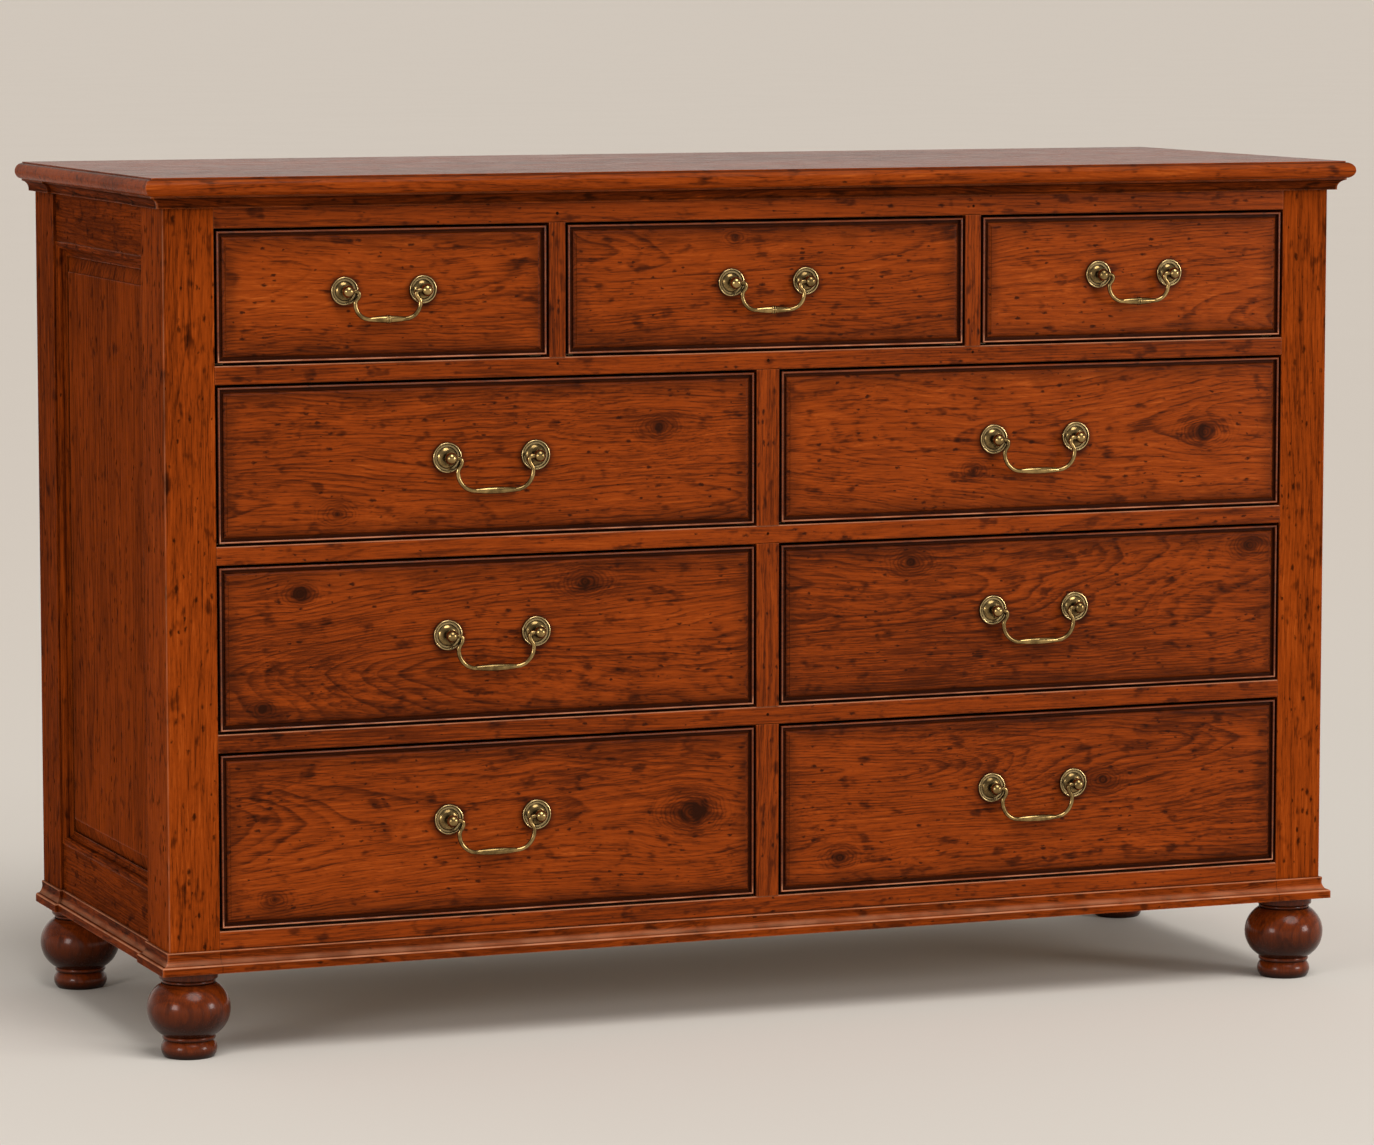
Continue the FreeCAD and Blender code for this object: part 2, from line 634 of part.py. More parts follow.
def make_inner_frame():
    """Back panel, rear rails, runners, guides and kickers."""
    back_inside = f"({BACK} - Sizes.back_thickness)"
    rear_rail = f"({back_inside} - Sizes.rear_rail_depth)"
    behind_rail = f"({FACE} + Sizes.rail_depth)"
    behind_stile = f"({FACE} + Sizes.divider_depth)"
    across_back = f"({JAMB} + Sizes.back_rebate - Sizes.back_clearance)"
    node("back_panel", board("back_panel", (f"-{across_back}", across_back), (back_inside, BACK),
                             (BASE, UNDER_TOP)))

    levels = {"lower": LOWER, "middle": MIDDLE, "upper": UPPER, "top": TOP_ROW}
    span = (f"-{JAMB}", JAMB)
    rear_rails = [board(f"rear_rail_{row}", span, (rear_rail, back_inside),
                        (f"{level} - Sizes.rail_height", level)) for row, level in levels.items()]
    rear_rails.append(board("rear_rail_under_top", span, (rear_rail, back_inside), (TOP_RAIL, UNDER_TOP)))
    node("rear_rails", group("rear_rails", rear_rails))

    outer = (f"{JAMB} - Sizes.runner_width", JAMB)
    divided = ("Sizes.top_centre_opening / 2 - Sizes.runner_width", f"{END_LEFT_EDGE} + Sizes.runner_width")
    half_centre = "(Sizes.centre_stile_width / 2 + Sizes.runner_width)"
    runners = []
    for row, level in levels.items():
        height = (f"{level} - Sizes.rail_height", level)
        right = board(f"runner_{row}", outer, (behind_rail, rear_rail), height)
        runners += [right, mirrored(f"runner_{row}_left", right)]
        if row == "top":
            inner = board("runner_divider", divided, (behind_rail, rear_rail), height)
            runners += [inner, mirrored("runner_divider_left", inner)]
        else:
            runners.append(board(f"runner_{row}_centre", (f"-{half_centre}", half_centre),
                                 (behind_rail, rear_rail), height))
    node("drawer_runners", group("drawer_runners", runners))

    edge = "Sizes.centre_stile_width / 2"
    guides = [board(f"guide_{row}", (f"-{edge}", edge), (behind_stile, rear_rail),
                    (levels[row], f"{levels[row]} + Sizes.guide_height"))
              for row in ("lower", "middle", "upper")]
    right = board("guide_divider", ("Sizes.top_centre_opening / 2", END_LEFT_EDGE), (behind_stile, rear_rail),
                  (TOP_ROW, f"{TOP_ROW} + Sizes.guide_height"))
    guides += [right, mirrored("guide_divider_left", right)]
    node("drawer_guides", group("drawer_guides", guides))

    kickers = []
    for name, reach in (("outer", outer), ("divider", divided)):
        right = board(f"kicker_{name}", reach, (behind_rail, rear_rail),
                      (TOP_RAIL, f"{TOP_RAIL} + Sizes.rail_height"))
        kickers += [right, mirrored(f"kicker_{name}_left", right)]
    node("drawer_kickers", group("drawer_kickers", kickers))


def moulded_front(name, width, height):
    """A drawer front with a bead, a groove and a round-edged field run round its edge."""
    body = new_body(f"{name}_front_board")
    side = f"({width} / 2 - Sizes.drawer_gap)"
    low = "Sizes.drawer_gap"
    edge = [(f"-{side}", low), (side, low), (side, f"{height} - {low}"), (f"-{side}", f"{height} - {low}")]
    slab = draw(body, "slab", "XZ_Plane", edge)
    pad(body, slab, "Sizes.front_thickness", backwards=True)
    path = draw(body, "edge", "XZ_Plane", edge)
    bead = "(Sizes.bead_width / 2)"
    groove = f"({low} + Sizes.bead_width)"
    bevel = f"({groove} + Sizes.groove_width)"
    field = f"({bevel} + Sizes.field_bevel)"
    cutter = draw(body, "moulded_edge", "YZ_Plane", [
        (f"-{CLEAR}", f"{low} - {CLEAR}"), (bead, f"{low} - {CLEAR}"), (bead, low), ("0", f"{low} + {bead}"),
        (bead, groove), ("Sizes.groove_depth", groove), ("Sizes.groove_depth", bevel),
        ("Sizes.groove_depth - Sizes.field_quirk", bevel), ("Sizes.field_step", field), (f"-{CLEAR}", field),
    ], arcs={2: (bead, -1), 3: (bead, -1), 7: ("Sizes.field_round", -1)})
    run_along(body, "SubtractivePipe", cutter, path)
    return body


def dovetailed_side(name, width, height):
    """The right side of a drawer box, a board with a row of tails at its front end."""
    body = new_body(f"{name}_side_board")
    low = "Sizes.runner_clearance"
    high = f"({height} - Sizes.box_drop)"
    root = "Sizes.front_thickness"
    tip = "(Sizes.front_thickness - Sizes.tail_length)"
    rear = "(Sizes.carcase_depth - Sizes.back_thickness - Sizes.box_rear_room)"
    foot = "(Sizes.drawer_gap + Sizes.bead_width)"
    count = max(2, round((number(high) - number(foot)) / number("Sizes.tail_pitch")))
    pitch = f"(({high} - {foot}) / {count})"
    half_tip = f"(({pitch} - Sizes.tail_pin) / 2)"
    half_root = f"({half_tip} - Sizes.tail_length / Sizes.tail_slope)"
    corners = [(root, high), (rear, high), (rear, low), (root, low)]
    for tail in range(count):
        middle = f"({foot} + {tail} * {pitch} + {pitch} / 2)"
        corners += [(root, f"{middle} - {half_root}"), (tip, f"{middle} - {half_tip}"),
                    (tip, f"{middle} + {half_tip}"), (root, f"{middle} + {half_root}")]
    outline = draw(body, "outline", "YZ_Plane", corners,
                   offset={"z": f"{width} / 2 - Sizes.drawer_gap - Sizes.box_thickness"})
    pad(body, outline, "Sizes.box_thickness")
    return body


def cut_from(name, piece, tool):
    cut = doc.addObject("Part::Cut", name)
    cut.Base = piece
    cut.Tool = tool
    return cut


def make_drawer_kind(name, width, height, spread, below_top):
    """Front and box of one size of drawer; its origin is at the foot of its opening, on the face."""
    inside = f"({width} / 2 - Sizes.drawer_gap - Sizes.box_thickness)"
    rear = "(Sizes.carcase_depth - Sizes.back_thickness - Sizes.box_rear_room)"
    bottom_low = "(Sizes.runner_clearance + Sizes.bottom_raise)"
    bottom_high = f"({bottom_low} + Sizes.bottom_thickness)"
    in_groove = f"({inside} + Sizes.bottom_groove)"
    bottom = board(f"{name}_bottom", (f"-{in_groove}", in_groove),
                   ("Sizes.front_thickness - Sizes.bottom_groove", rear), (bottom_low, bottom_high))
    right = cut_from(f"{name}_right_side", dovetailed_side(name, width, height), bottom)
    left = mirrored(f"{name}_left_side", right)
    back = board(f"{name}_back", (f"-{inside}", inside), (f"{rear} - Sizes.box_thickness", rear),
                 (bottom_high, f"{height} - Sizes.box_drop"))
    bores = []
    for side in ("-", ""):
        bore = doc.addObject("Part::Cylinder", f"{name}_stem_bore")
        bore.setExpression("Radius", "Sizes.stem_radius + Sizes.stem_clearance")
        bore.setExpression("Height", f"Sizes.front_thickness + 2 * {CLEAR}")
        bore.Placement = FreeCAD.Placement(FreeCAD.Vector(), FreeCAD.Rotation(FreeCAD.Vector(1, 0, 0), -90))
        bore.setExpression("Placement.Base.x", f"{side}{spread} / 2")
        bore.setExpression("Placement.Base.y", f"-{CLEAR}")
        bore.setExpression("Placement.Base.z", f"{height} - {below_top}")
        bores.append(bore)
    front = moulded_front(name, width, height)
    for step, tool in enumerate([right, left, bottom] + bores):
        front = cut_from(f"{name}_front_cut_{step}", front, tool)
    return front, group(f"{name}_box", [left, right, back, bottom])


def make_rose(name, radius):
    """A rosette: rim, wide groove and a domed middle with a hole for the post."""
    body = new_body(name)
    hole = "(Sizes.stem_radius + Sizes.stem_clearance)"
    rim = f"({radius} - Sizes.rose_rim)"
    inner = f"({rim} - Sizes.rose_groove)"
    rim_round = "(Sizes.rose_rim / 2)"
    profile = draw(body, "profile", "XY_Plane", [
        (hole, "0"), (radius, "0"), (radius, "-Sizes.rose_rim_height"),
        (f"{radius} - {rim_round}", f"-(Sizes.rose_rim_height + {rim_round})"),
        (rim, "-Sizes.rose_rim_height"), (rim, "-Sizes.rose_groove_height"),
        (inner, "-Sizes.rose_groove_height"), ("Sizes.rose_flat_radius", "-Sizes.rose_crown"),
        (hole, "-Sizes.rose_crown"),
    ], arcs={2: (rim_round, -1), 3: (rim_round, -1), 6: ("Sizes.rose_dome_round", -1)})
    revolve(body, profile, "V_Axis")
    return body


def make_post():
    """A pull post: threaded stem, neck and ball, with a blind bore for the bail's pin towards +X."""
    body = new_body("pull_post")
    end = "(Sizes.front_thickness + Sizes.nut_thickness + Sizes.stem_beyond_nut)"
    meet = "(Sizes.ball_reach - sqrt(Sizes.ball_radius ^ 2 - Sizes.post_neck_radius ^ 2))"
    profile = draw(body, "profile", "XY_Plane", [
        ("0", end), ("Sizes.stem_radius", end), ("Sizes.stem_radius", "-Sizes.rose_crown"),
        ("Sizes.post_neck_radius", "-Sizes.rose_crown"), ("Sizes.post_neck_radius", f"-{meet}"),
        ("Sizes.ball_radius", "-Sizes.ball_reach"), ("0", "-(Sizes.ball_reach + Sizes.ball_radius)"),
    ], arcs={4: ("Sizes.ball_radius", -1), 5: ("Sizes.ball_radius", -1)})
    revolve(body, profile, "V_Axis")
    bore = circle(body, "pin_bore", "YZ_Plane", ("-Sizes.ball_reach", "0"),
                  "Sizes.bail_radius + Sizes.bail_clearance",
                  offset={"z": "Sizes.bail_pin_in - Sizes.pin_end_room"})
    cut_through(body, bore, backwards=True)
    return body


def make_nut():
    """The hexagon nut that holds a pull post from inside the drawer."""
    body = new_body("pull_nut")
    flat = "Sizes.nut_flats / 2"
    half_edge = "Sizes.nut_flats / 2 * tan(30)"
    tip = "Sizes.nut_flats / 2 / cos(30)"
    hexagon = draw(body, "hexagon", "XZ_Plane", [
        (flat, f"-({half_edge})"), (flat, half_edge), ("0", tip),
        (f"-({flat})", half_edge), (f"-({flat})", f"-({half_edge})"), ("0", f"-({tip})"),
    ], offset={"z": "-Sizes.front_thickness"})
    pad(body, hexagon, "Sizes.nut_thickness", backwards=True)
    bore = circle(body, "bore", "XZ_Plane", ("0", "0"), "Sizes.stem_radius + Sizes.stem_clearance")
    cut_through(body, bore)
    return body


def make_bail(name, spread, drop, bend, ringed):
    """A bail of round rod that swells at mid grip; its origin is midway between the posts on the front."""
    body = new_body(name)
    half = f"({spread} / 2)"
    pin = f"({half} - Sizes.bail_pin_in)"
    elbow = f"({half} - Sizes.bail_elbow_out)"
    neck = f"({half} - Sizes.bail_neck_out)"
    bend_out = f"({elbow} + Sizes.bail_elbow_bend)"
    neck_low = f"({drop} - {bend})"
    sway = "(Sizes.bail_elbow_out - Sizes.bail_neck_out)"
    length = f"({neck_low} - Sizes.bail_elbow_bend)"
    sway_radius = f"(({length} ^ 2 + {sway} ^ 2) / (4 * {sway}))"
    bar = f"({neck} - {bend})"
    sway_middle = f"({elbow} + {sway} / 2)", f"-(Sizes.bail_elbow_bend + {length} / 2)"
    right = [(bar, f"-{drop}"), (neck, f"-{neck_low}"), sway_middle, (elbow, "-Sizes.bail_elbow_bend"),
             (bend_out, "0"), (pin, "0")]
    left = [(f"-{across}", up) for across, up in reversed(right)]
    elbow_bend = "Sizes.bail_elbow_bend"
    path = draw(body, "line", "XZ_Plane", left + right, closed=False, offset={"z": "Sizes.ball_reach"}, arcs={
        1: (elbow_bend, -1), 2: (sway_radius, -1), 3: (sway_radius, 1), 4: (bend, 1),
        6: (bend, 1), 7: (sway_radius, 1), 8: (sway_radius, -1), 9: (elbow_bend, -1),
    })
    rod = circle(body, "rod", "YZ_Plane", ("-Sizes.ball_reach", "0"), "Sizes.bail_radius",
                 offset={"z": f"-{pin}"})
    run_along(body, "AdditivePipe", rod, path)
    swell = "(Sizes.bail_swell - Sizes.bail_radius)"
    grip = draw(body, "grip", "XZ_Plane", [
        (f"-{bar}", "0"), (bar, "0"), (bar, "Sizes.bail_radius"), ("0", "Sizes.bail_swell"),
        (f"-{bar}", "Sizes.bail_radius"),
    ], arcs={2: (bow_radius(bar, swell), 1), 3: (bow_radius(bar, swell), 1)},
        offset={"y": f"-{drop}", "z": "Sizes.ball_reach"})
    revolve(body, grip, "H_Axis")
    if ringed:
        width = "Sizes.bail_ring_width"
        rise = "Sizes.bail_ring_rise"
        ring_round = bow_radius(f"{width} / 2", rise)
        rings = draw(body, "rings", "XZ_Plane", [
            (f"-{width}", "0"), (width, "0"), (width, "Sizes.bail_swell"), ("0", "Sizes.bail_swell"),
            (f"-{width}", "Sizes.bail_swell"),
        ], arcs={2: (ring_round, 1), 3: (ring_round, 1)}, offset={"y": f"-{drop}", "z": "Sizes.ball_reach"})
        revolve(body, rings, "H_Axis")
    return body


def make_drawers():
    post = make_post()
    nut = make_nut()
    half_turn = FreeCAD.Rotation(FreeCAD.Vector(0, 1, 0), 180)
    pulls = {}
    for kind, spread, drop, bend, rose_radius in (
            ("pull", "Sizes.pull_spread", "Sizes.pull_drop", "Sizes.pull_bend", "Sizes.rose_radius"),
            ("top_pull", "Sizes.top_pull_spread", "Sizes.top_pull_drop", "Sizes.top_pull_bend",
             "Sizes.top_rose_radius")):
        rose = make_rose(f"{kind}_rose", rose_radius)
        fixed = []
        for side, sign, turn in (("left", "-", None), ("right", "", half_turn)):
            across = f"{sign}{spread} / 2"
            fixed.append(placed(f"{kind}_{side}_rose", rose, across))
            fixed.append(placed(f"{kind}_{side}_post", post, across, turn=turn))
            fixed.append(placed(f"{kind}_{side}_nut", nut, across))
        bail = make_bail(f"{kind}_bail", spread, drop, bend, kind == "top_pull")
        pulls[kind] = (group(f"{kind}_fixed", fixed), bail)

    rows = {
        "top": (TOP_ROW, "top_pull", {"left": ("end", f"-{END_CENTRE}"), "centre": ("middle", "0"),
                                      "right": ("end", END_CENTRE)}),
        "upper": (UPPER, "pull", {"left": ("pair", f"-{PAIR_CENTRE}"), "right": ("pair", PAIR_CENTRE)}),
        "middle": (MIDDLE, "pull", {"left": ("pair", f"-{PAIR_CENTRE}"), "right": ("pair", PAIR_CENTRE)}),
        "lower": (LOWER, "pull", {"left": ("pair", f"-{PAIR_CENTRE}"), "right": ("pair", PAIR_CENTRE)}),
    }
    widths = {"end": END_WIDTH, "middle": "Sizes.top_centre_opening", "pair": PAIR_WIDTH}
    for row, (level, pull, places) in rows.items():
        height = f"Sizes.{row}_row"
        below_top = f"Sizes.{pull}_below_top"
        kinds = {}
        for place, (kind, across) in places.items():
            if kind not in kinds:
                kinds[kind] = make_drawer_kind(f"{row}_{kind}", widths[kind], height,
                                               f"Sizes.{pull}_spread", below_top)
            front, box = kinds[kind]
            fixed, bail = pulls[pull]
            pull_height = f"{level} + {height} - {below_top}"
            drawer = f"{row}_{place}_drawer"
            node(f"{drawer}_front", placed(f"{drawer}_front", front, across, FACE, level))
            node(f"{drawer}_box", placed(f"{drawer}_box", box, across, FACE, level))
            node(f"{drawer}_pull_posts", placed(f"{drawer}_pull_posts", fixed, across, FACE, pull_height))
            node(f"{drawer}_bail", placed(f"{drawer}_bail", bail, across, FACE, pull_height))


make_front_frame()
make_posts()
make_top_board()
make_moulding("cornice_moulding", cornice_section, "Sizes.cornice_reach")
make_moulding("base_moulding", base_section, "Sizes.base_reach")
make_feet()
make_side_frames()
make_inner_frame()
make_drawers()
doc.recompute()

for thing in doc.Objects:
    if "Invalid" in thing.State or "Error" in thing.State:
        raise RuntimeError(f"{thing.Label} failed: {thing.State}")
for piece in nodes:
    if piece.Shape.isNull() or not piece.Shape.isValid() or not piece.Shape.Solids:
        raise RuntimeError(f"{piece.Label} has no valid solid")

os.makedirs("parts", exist_ok=True)
for piece in nodes:
    piece.Shape.exportStep(f"parts/{piece.Label}.step")
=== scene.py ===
import math
import random

import bpy
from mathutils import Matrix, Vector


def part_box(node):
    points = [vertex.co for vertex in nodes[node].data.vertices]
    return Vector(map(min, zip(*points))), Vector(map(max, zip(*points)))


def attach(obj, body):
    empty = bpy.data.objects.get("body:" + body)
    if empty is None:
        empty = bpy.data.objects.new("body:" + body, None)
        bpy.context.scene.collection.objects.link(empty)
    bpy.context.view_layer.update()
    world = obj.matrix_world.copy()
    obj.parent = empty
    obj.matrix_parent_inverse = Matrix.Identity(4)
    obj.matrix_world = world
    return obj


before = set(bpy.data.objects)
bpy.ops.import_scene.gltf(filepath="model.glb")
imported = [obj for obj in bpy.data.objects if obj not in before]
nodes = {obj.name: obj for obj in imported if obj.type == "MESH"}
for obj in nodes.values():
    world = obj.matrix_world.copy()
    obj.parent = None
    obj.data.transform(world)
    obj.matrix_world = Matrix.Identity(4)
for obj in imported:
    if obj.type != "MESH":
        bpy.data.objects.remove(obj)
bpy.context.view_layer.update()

# Places on the dresser, in metres: x to the right, y to the back, z up.
FACE = -0.248
JAMB = 0.638
DIVIDER = 0.2485
DIVIDER_PEGS = (0.907, 0.743)
STILE_PEGS = (0.740, 0.547, 0.344)
FOOT_LINE = 0.665
FRONT_FOOT = -0.218
REAR_FOOT = 0.227
POST_CORNER = (0.6945, -0.2475)
RAIL_TOPS = (0.1386, 0.3526, 0.5556, 0.7496)
BASE_TOP = 0.1197
BASE_QUIRK = 0.1057
BASE_EDGES = (0.1036, 0.1185)
CORNICE_QUIRKS = (0.9213, 0.9298)
BOX_SIDE = 0.0125
FRONT_GROOVE = (0.0025, 0.0059)
BEAD_CREST = 0.0013

# Pulls: the height of the posts in each row, then half the spread, rosette radius and drop of the bail.
PULL_LINES = {"top": 0.8275, "upper": 0.644, "middle": 0.450, "lower": 0.247}
SMALL_PULL = (0.0445, 0.0135, 0.0305)
LARGE_PULL = (0.051, 0.0150, 0.036)

# Stain lightness of each row of fronts, darker towards the bottom rows: painted light falling from above.
ROW_LIGHTNESS_AND_SHADE = {"top": 0.475, "upper": 0.460, "middle": 0.440, "lower": 0.415}
ROWS = ("upper", "middle", "lower")
SIDES = ("left", "right")
DRAWERS = ["top_left", "top_centre", "top_right"] + [f"{row}_{side}" for row in ROWS for side in SIDES]

# Knots in the drawer fronts: place across and up, radius of the heart, reach of the dark stain round it.
KNOTS = {
    "top_centre": [(-0.040, 0.877, 0.0040, 0.014)],
    "upper_left": [(-0.130, 0.670, 0.0070, 0.024), (-0.502, 0.587, 0.0030, 0.026)],
    "upper_right": [(0.541, 0.644, 0.0115, 0.034), (0.250, 0.610, 0.0030, 0.020)],
    "middle_left": [(-0.545, 0.502, 0.0085, 0.020), (-0.217, 0.502, 0.0060, 0.032),
                    (-0.588, 0.380, 0.0045, 0.018)],
    "middle_right": [(0.600, 0.511, 0.0080, 0.030), (0.173, 0.508, 0.0060, 0.030)],
    "lower_left": [(-0.091, 0.239, 0.0150, 0.040), (-0.576, 0.171, 0.0030, 0.022)],
    "lower_right": [(0.088, 0.177, 0.0065, 0.024), (0.415, 0.248, 0.0055, 0.026)],
}

# Stain colours, from the bottom of the grain to its brightest streaks.
CHERRY_STAIN = ((0.022, 0.0048, 0.0014), (0.080, 0.0132, 0.0021),
                (0.236, 0.0380, 0.0036), (0.425, 0.0900, 0.0115))
PALE_POPLAR = ((0.160, 0.0850, 0.0350), (0.300, 0.1800, 0.0800),
               (0.470, 0.3100, 0.1550), (0.580, 0.4100, 0.2250))
BROWN_BACK = ((0.045, 0.0170, 0.0070), (0.110, 0.0420, 0.0150),
              (0.200, 0.0820, 0.0300), (0.270, 0.1200, 0.0480))
# A pale wax tone, painted as highlights on beads, level edges and slopes, and as wear with a painted highlight
# on post corners.
WORN_WAX_AND_HIGHLIGHT = (0.500, 0.2050, 0.1050)

# Colours of the brass, the pegs and the floor.
BRASS_DULL, BRASS_CLEAN, BRASS_RUBBED_HIGHLIGHT = (0.140, 0.090, 0.034), (0.420, 0.280, 0.108), (0.640, 0.470, 0.225)
BRASS_GRIT, BRASS_TARNISH = (0.060, 0.038, 0.017), (0.030, 0.019, 0.009)
PEG_DARK, PEG_BROWN = (0.008, 0.003, 0.0015), (0.035, 0.008, 0.002)
FLOOR_NEAR, FLOOR_FAR, FLOOR_CLOUD = (0.715, 0.682, 0.634), (0.742, 0.682, 0.620), (0.660, 0.620, 0.570)

# Waves per metre of each streak or speck in the wood, along the grain and across it.
GRAIN_WAVES = {
    "slow": (1.7, 7.0), "ripple": (11.0, 30.0), "fibre": (24.0, 700.0),
    "streak": (9.0, 250.0), "pores": (85.0, 900.0), "smudges": (36.0, 70.0),
    "patches": (14.0, 17.0), "dents": (84.0, 175.0), "ragged": (260.0, 330.0),
}
SLOW_SWAY, RIPPLE_SWAY = 0.070, 0.008

# How far each feature of the wood moves its tone between the darkest and the lightest stain.
FIBRE_TONE, STREAK_TONE, PORE_TONE = 0.74, 0.60, 0.13
SLOW_TONE, RIPPLE_TONE, SMUDGE_TONE = 0.42, 0.26, 0.36
KNOT_STAIN_TONE, KNOT_HEART_TONE = 0.19, 0.38

# A knot: how oval the parted grain and the heart lie, and the waves per metre of its rings and its eye.
PARTED_OVAL, HEART_OVAL = 0.6, 0.85
HEART_WAVES, EYE_WAVES, EYE_STRENGTH = 1900, 2000, 0.42

# How much each mark covers the stain under it: dents and seams are marks of age, the edge darkening runs in
# from the edges of fronts and panels, the groove, quirk, hollow, pull and bail marks are painted shade, the
# level lines are painted highlights, and the corner line is wear with a painted highlight.
DENT_COVER = 0.90
EDGE_SHADE = 0.50
GROOVE_SHADE = 0.80
SEAM_SHADE = 0.65
QUIRK_SHADE = 0.75
HIGHLIGHT_LINE = 0.80
PULL_SHADOW = 0.72
BAIL_SHADOW = 0.42
CORNER_WEAR_AND_HIGHLIGHT = 0.28
SEAM_DARK, HOLLOW_SHADE = 0.4, 0.35

# Polish: wax on the bead, and what unevenness, pits and the painted hollow shade add to the roughness.
WAX_ROUGHNESS, BEAD_WAX = 0.20, 0.40
UNEVEN_POLISH, DULL_PITS, DULL_HOLLOWS = 0.16, 0.22, 0.18
GRAIN_DEPTH, ARRIS_REACH = 0.00028, 0.0022

# Half widths of thin lines in metres: full inside the first, gone by the second.
SEAM_WIDTH = (0.0002, 0.0007)
LEVEL_WIDTH = (0.0002, 0.0010)
BEAD_WIDTH = (0.0002, 0.0008)
CORNER_WIDTH = (0.0004, 0.0014)


class Bench:
    """A node tree, and short calls for the nodes that go into it."""

    def __init__(self, tree):
        self.tree = tree

    def node(self, kind, **settings):
        made = self.tree.nodes.new(kind)
        for name, value in settings.items():
            setattr(made, name, value)
        return made

    def feed(self, socket, source):
        if isinstance(source, bpy.types.NodeSocket):
            self.tree.links.new(source, socket)
        else:
            socket.default_value = source

    def math(self, operation, *sources):
        made = self.node("ShaderNodeMath", operation=operation)
        for socket, source in zip(made.inputs, sources):
            self.feed(socket, source)
        return made.outputs[0]

    def add(self, first, second):
        return self.math("ADD", first, second)

    def less(self, first, second):
        return self.math("SUBTRACT", first, second)

    def times(self, first, second):
        return self.math("MULTIPLY", first, second)

    def size(self, value):
        return self.math("ABSOLUTE", value)

    def larger(self, first, second):
        return self.math("MAXIMUM", first, second)

    def swing(self, noise, strength):
        """A noise measured from its middle, at this strength."""
        return self.times(self.less(noise, 0.5), strength)

    def length(self, first, second):
        """The long side of a right angle with these two legs."""
        return self.math("SQRT", self.add(self.times(first, first), self.times(second, second)))

    def distance(self, first, second):
        made = self.node("ShaderNodeVectorMath", operation="DISTANCE")
        self.feed(made.inputs[0], first)
        self.feed(made.inputs[1], second)
        return made.outputs["Value"]

    def stretch(self, place, along, across):
        """The place with its grain axis and its two cross axes scaled, for a streaky noise."""
        made = self.node("ShaderNodeVectorMath", operation="MULTIPLY")
        self.feed(made.inputs[0], place)
        made.inputs[1].default_value = (along, across, across)
        return made.outputs[0]

    def shift(self, place, offset):
        made = self.node("ShaderNodeVectorMath", operation="ADD")
        self.feed(made.inputs[0], place)
        self.feed(made.inputs[1], offset)
        return made.outputs[0]

    def split(self, place):
        made = self.node("ShaderNodeSeparateXYZ")
        self.feed(made.inputs[0], place)
        return made.outputs[0], made.outputs[1], made.outputs[2]

    def join(self, *parts):
        made = self.node("ShaderNodeCombineXYZ")
        for socket, source in zip(made.inputs, parts):
            self.feed(socket, source)
        return made.outputs[0]

    def noise(self, place, detail=2.0, roughness=0.5, scale=1.0):
        made = self.node("ShaderNodeTexNoise")
        self.feed(made.inputs["Vector"], place)
        made.inputs["Scale"].default_value = scale
        made.inputs["Detail"].default_value = detail
        made.inputs["Roughness"].default_value = roughness
        return made

    def wood_noise(self, place, name, **settings):
        """A noise drawn out along the grain by the waves of that name."""
        return self.noise(self.stretch(place, *GRAIN_WAVES[name]), **settings)

    def fade(self, value, low, high, bottom=0.0, top=1.0):
        """A smooth step between two values, that runs from bottom to top."""
        made = self.node("ShaderNodeMapRange", interpolation_type="SMOOTHSTEP")
        ends = (("From Min", low), ("From Max", high), ("To Min", bottom), ("To Max", top))
        for name, source in (("Value", value), *ends):
            self.feed(made.inputs[name], source)
        return made.outputs[0]

    def band(self, value, rise, fall, share=1.0):
        """The share between two soft steps, up over the first and down over the second."""
        return self.times(self.fade(value, *rise, 0, share), self.fade(value, *fall, 1, 0))

    def line(self, value, middle, width, share=1.0):
        """A thin soft line where the value passes its middle."""
        return self.fade(self.size(self.less(value, middle)), *width, share, 0)

    def tint(self, share, first, second):
        made = self.node("ShaderNodeMix", data_type="RGBA")
        self.feed(made.inputs[0], share)
        for socket, source in ((made.inputs[6], first), (made.inputs[7], second)):
            self.feed(socket, source if isinstance(source, bpy.types.NodeSocket) else (*source, 1.0))
        return made.outputs[2]

    def pick(self, share, first, second):
        made = self.node("ShaderNodeMix", data_type="VECTOR")
        self.feed(made.inputs[0], share)
        self.feed(made.inputs[4], first)
        self.feed(made.inputs[5], second)
        return made.outputs[1]

    def hollow(self, reach, **settings):
        """How open the surface is within this reach, or how thick it is where the search runs inside."""
        made = self.node("ShaderNodeAmbientOcclusion", samples=4, **settings)
        made.inputs["Distance"].default_value = reach
        return made.outputs["AO"]

    def bump(self, shader, height, strength, distance):
        made = self.node("ShaderNodeBump")
        made.inputs["Strength"].default_value = strength
        made.inputs["Distance"].default_value = distance
        self.feed(made.inputs["Height"], height)
        self.feed(shader.inputs["Normal"], made.outputs["Normal"])


def shader_group(name, takes, gives):
    """An empty shader group with named sockets: its bench, its inputs and the sockets that end it."""
    tree = bpy.data.node_groups.new(name, "ShaderNodeTree")
    for label, kind in takes:
        tree.interface.new_socket(label, in_out="INPUT", socket_type=kind)
    for label, kind in gives:
        tree.interface.new_socket(label, in_out="OUTPUT", socket_type=kind)
    bench = Bench(tree)
    return bench, bench.node("NodeGroupInput").outputs, bench.node("NodeGroupOutput").inputs


NUMBER, VECTOR, COLOUR = "NodeSocketFloat", "NodeSocketVector", "NodeSocketColor"


def numbers(*labels):
    return [(label, NUMBER) for label in labels]


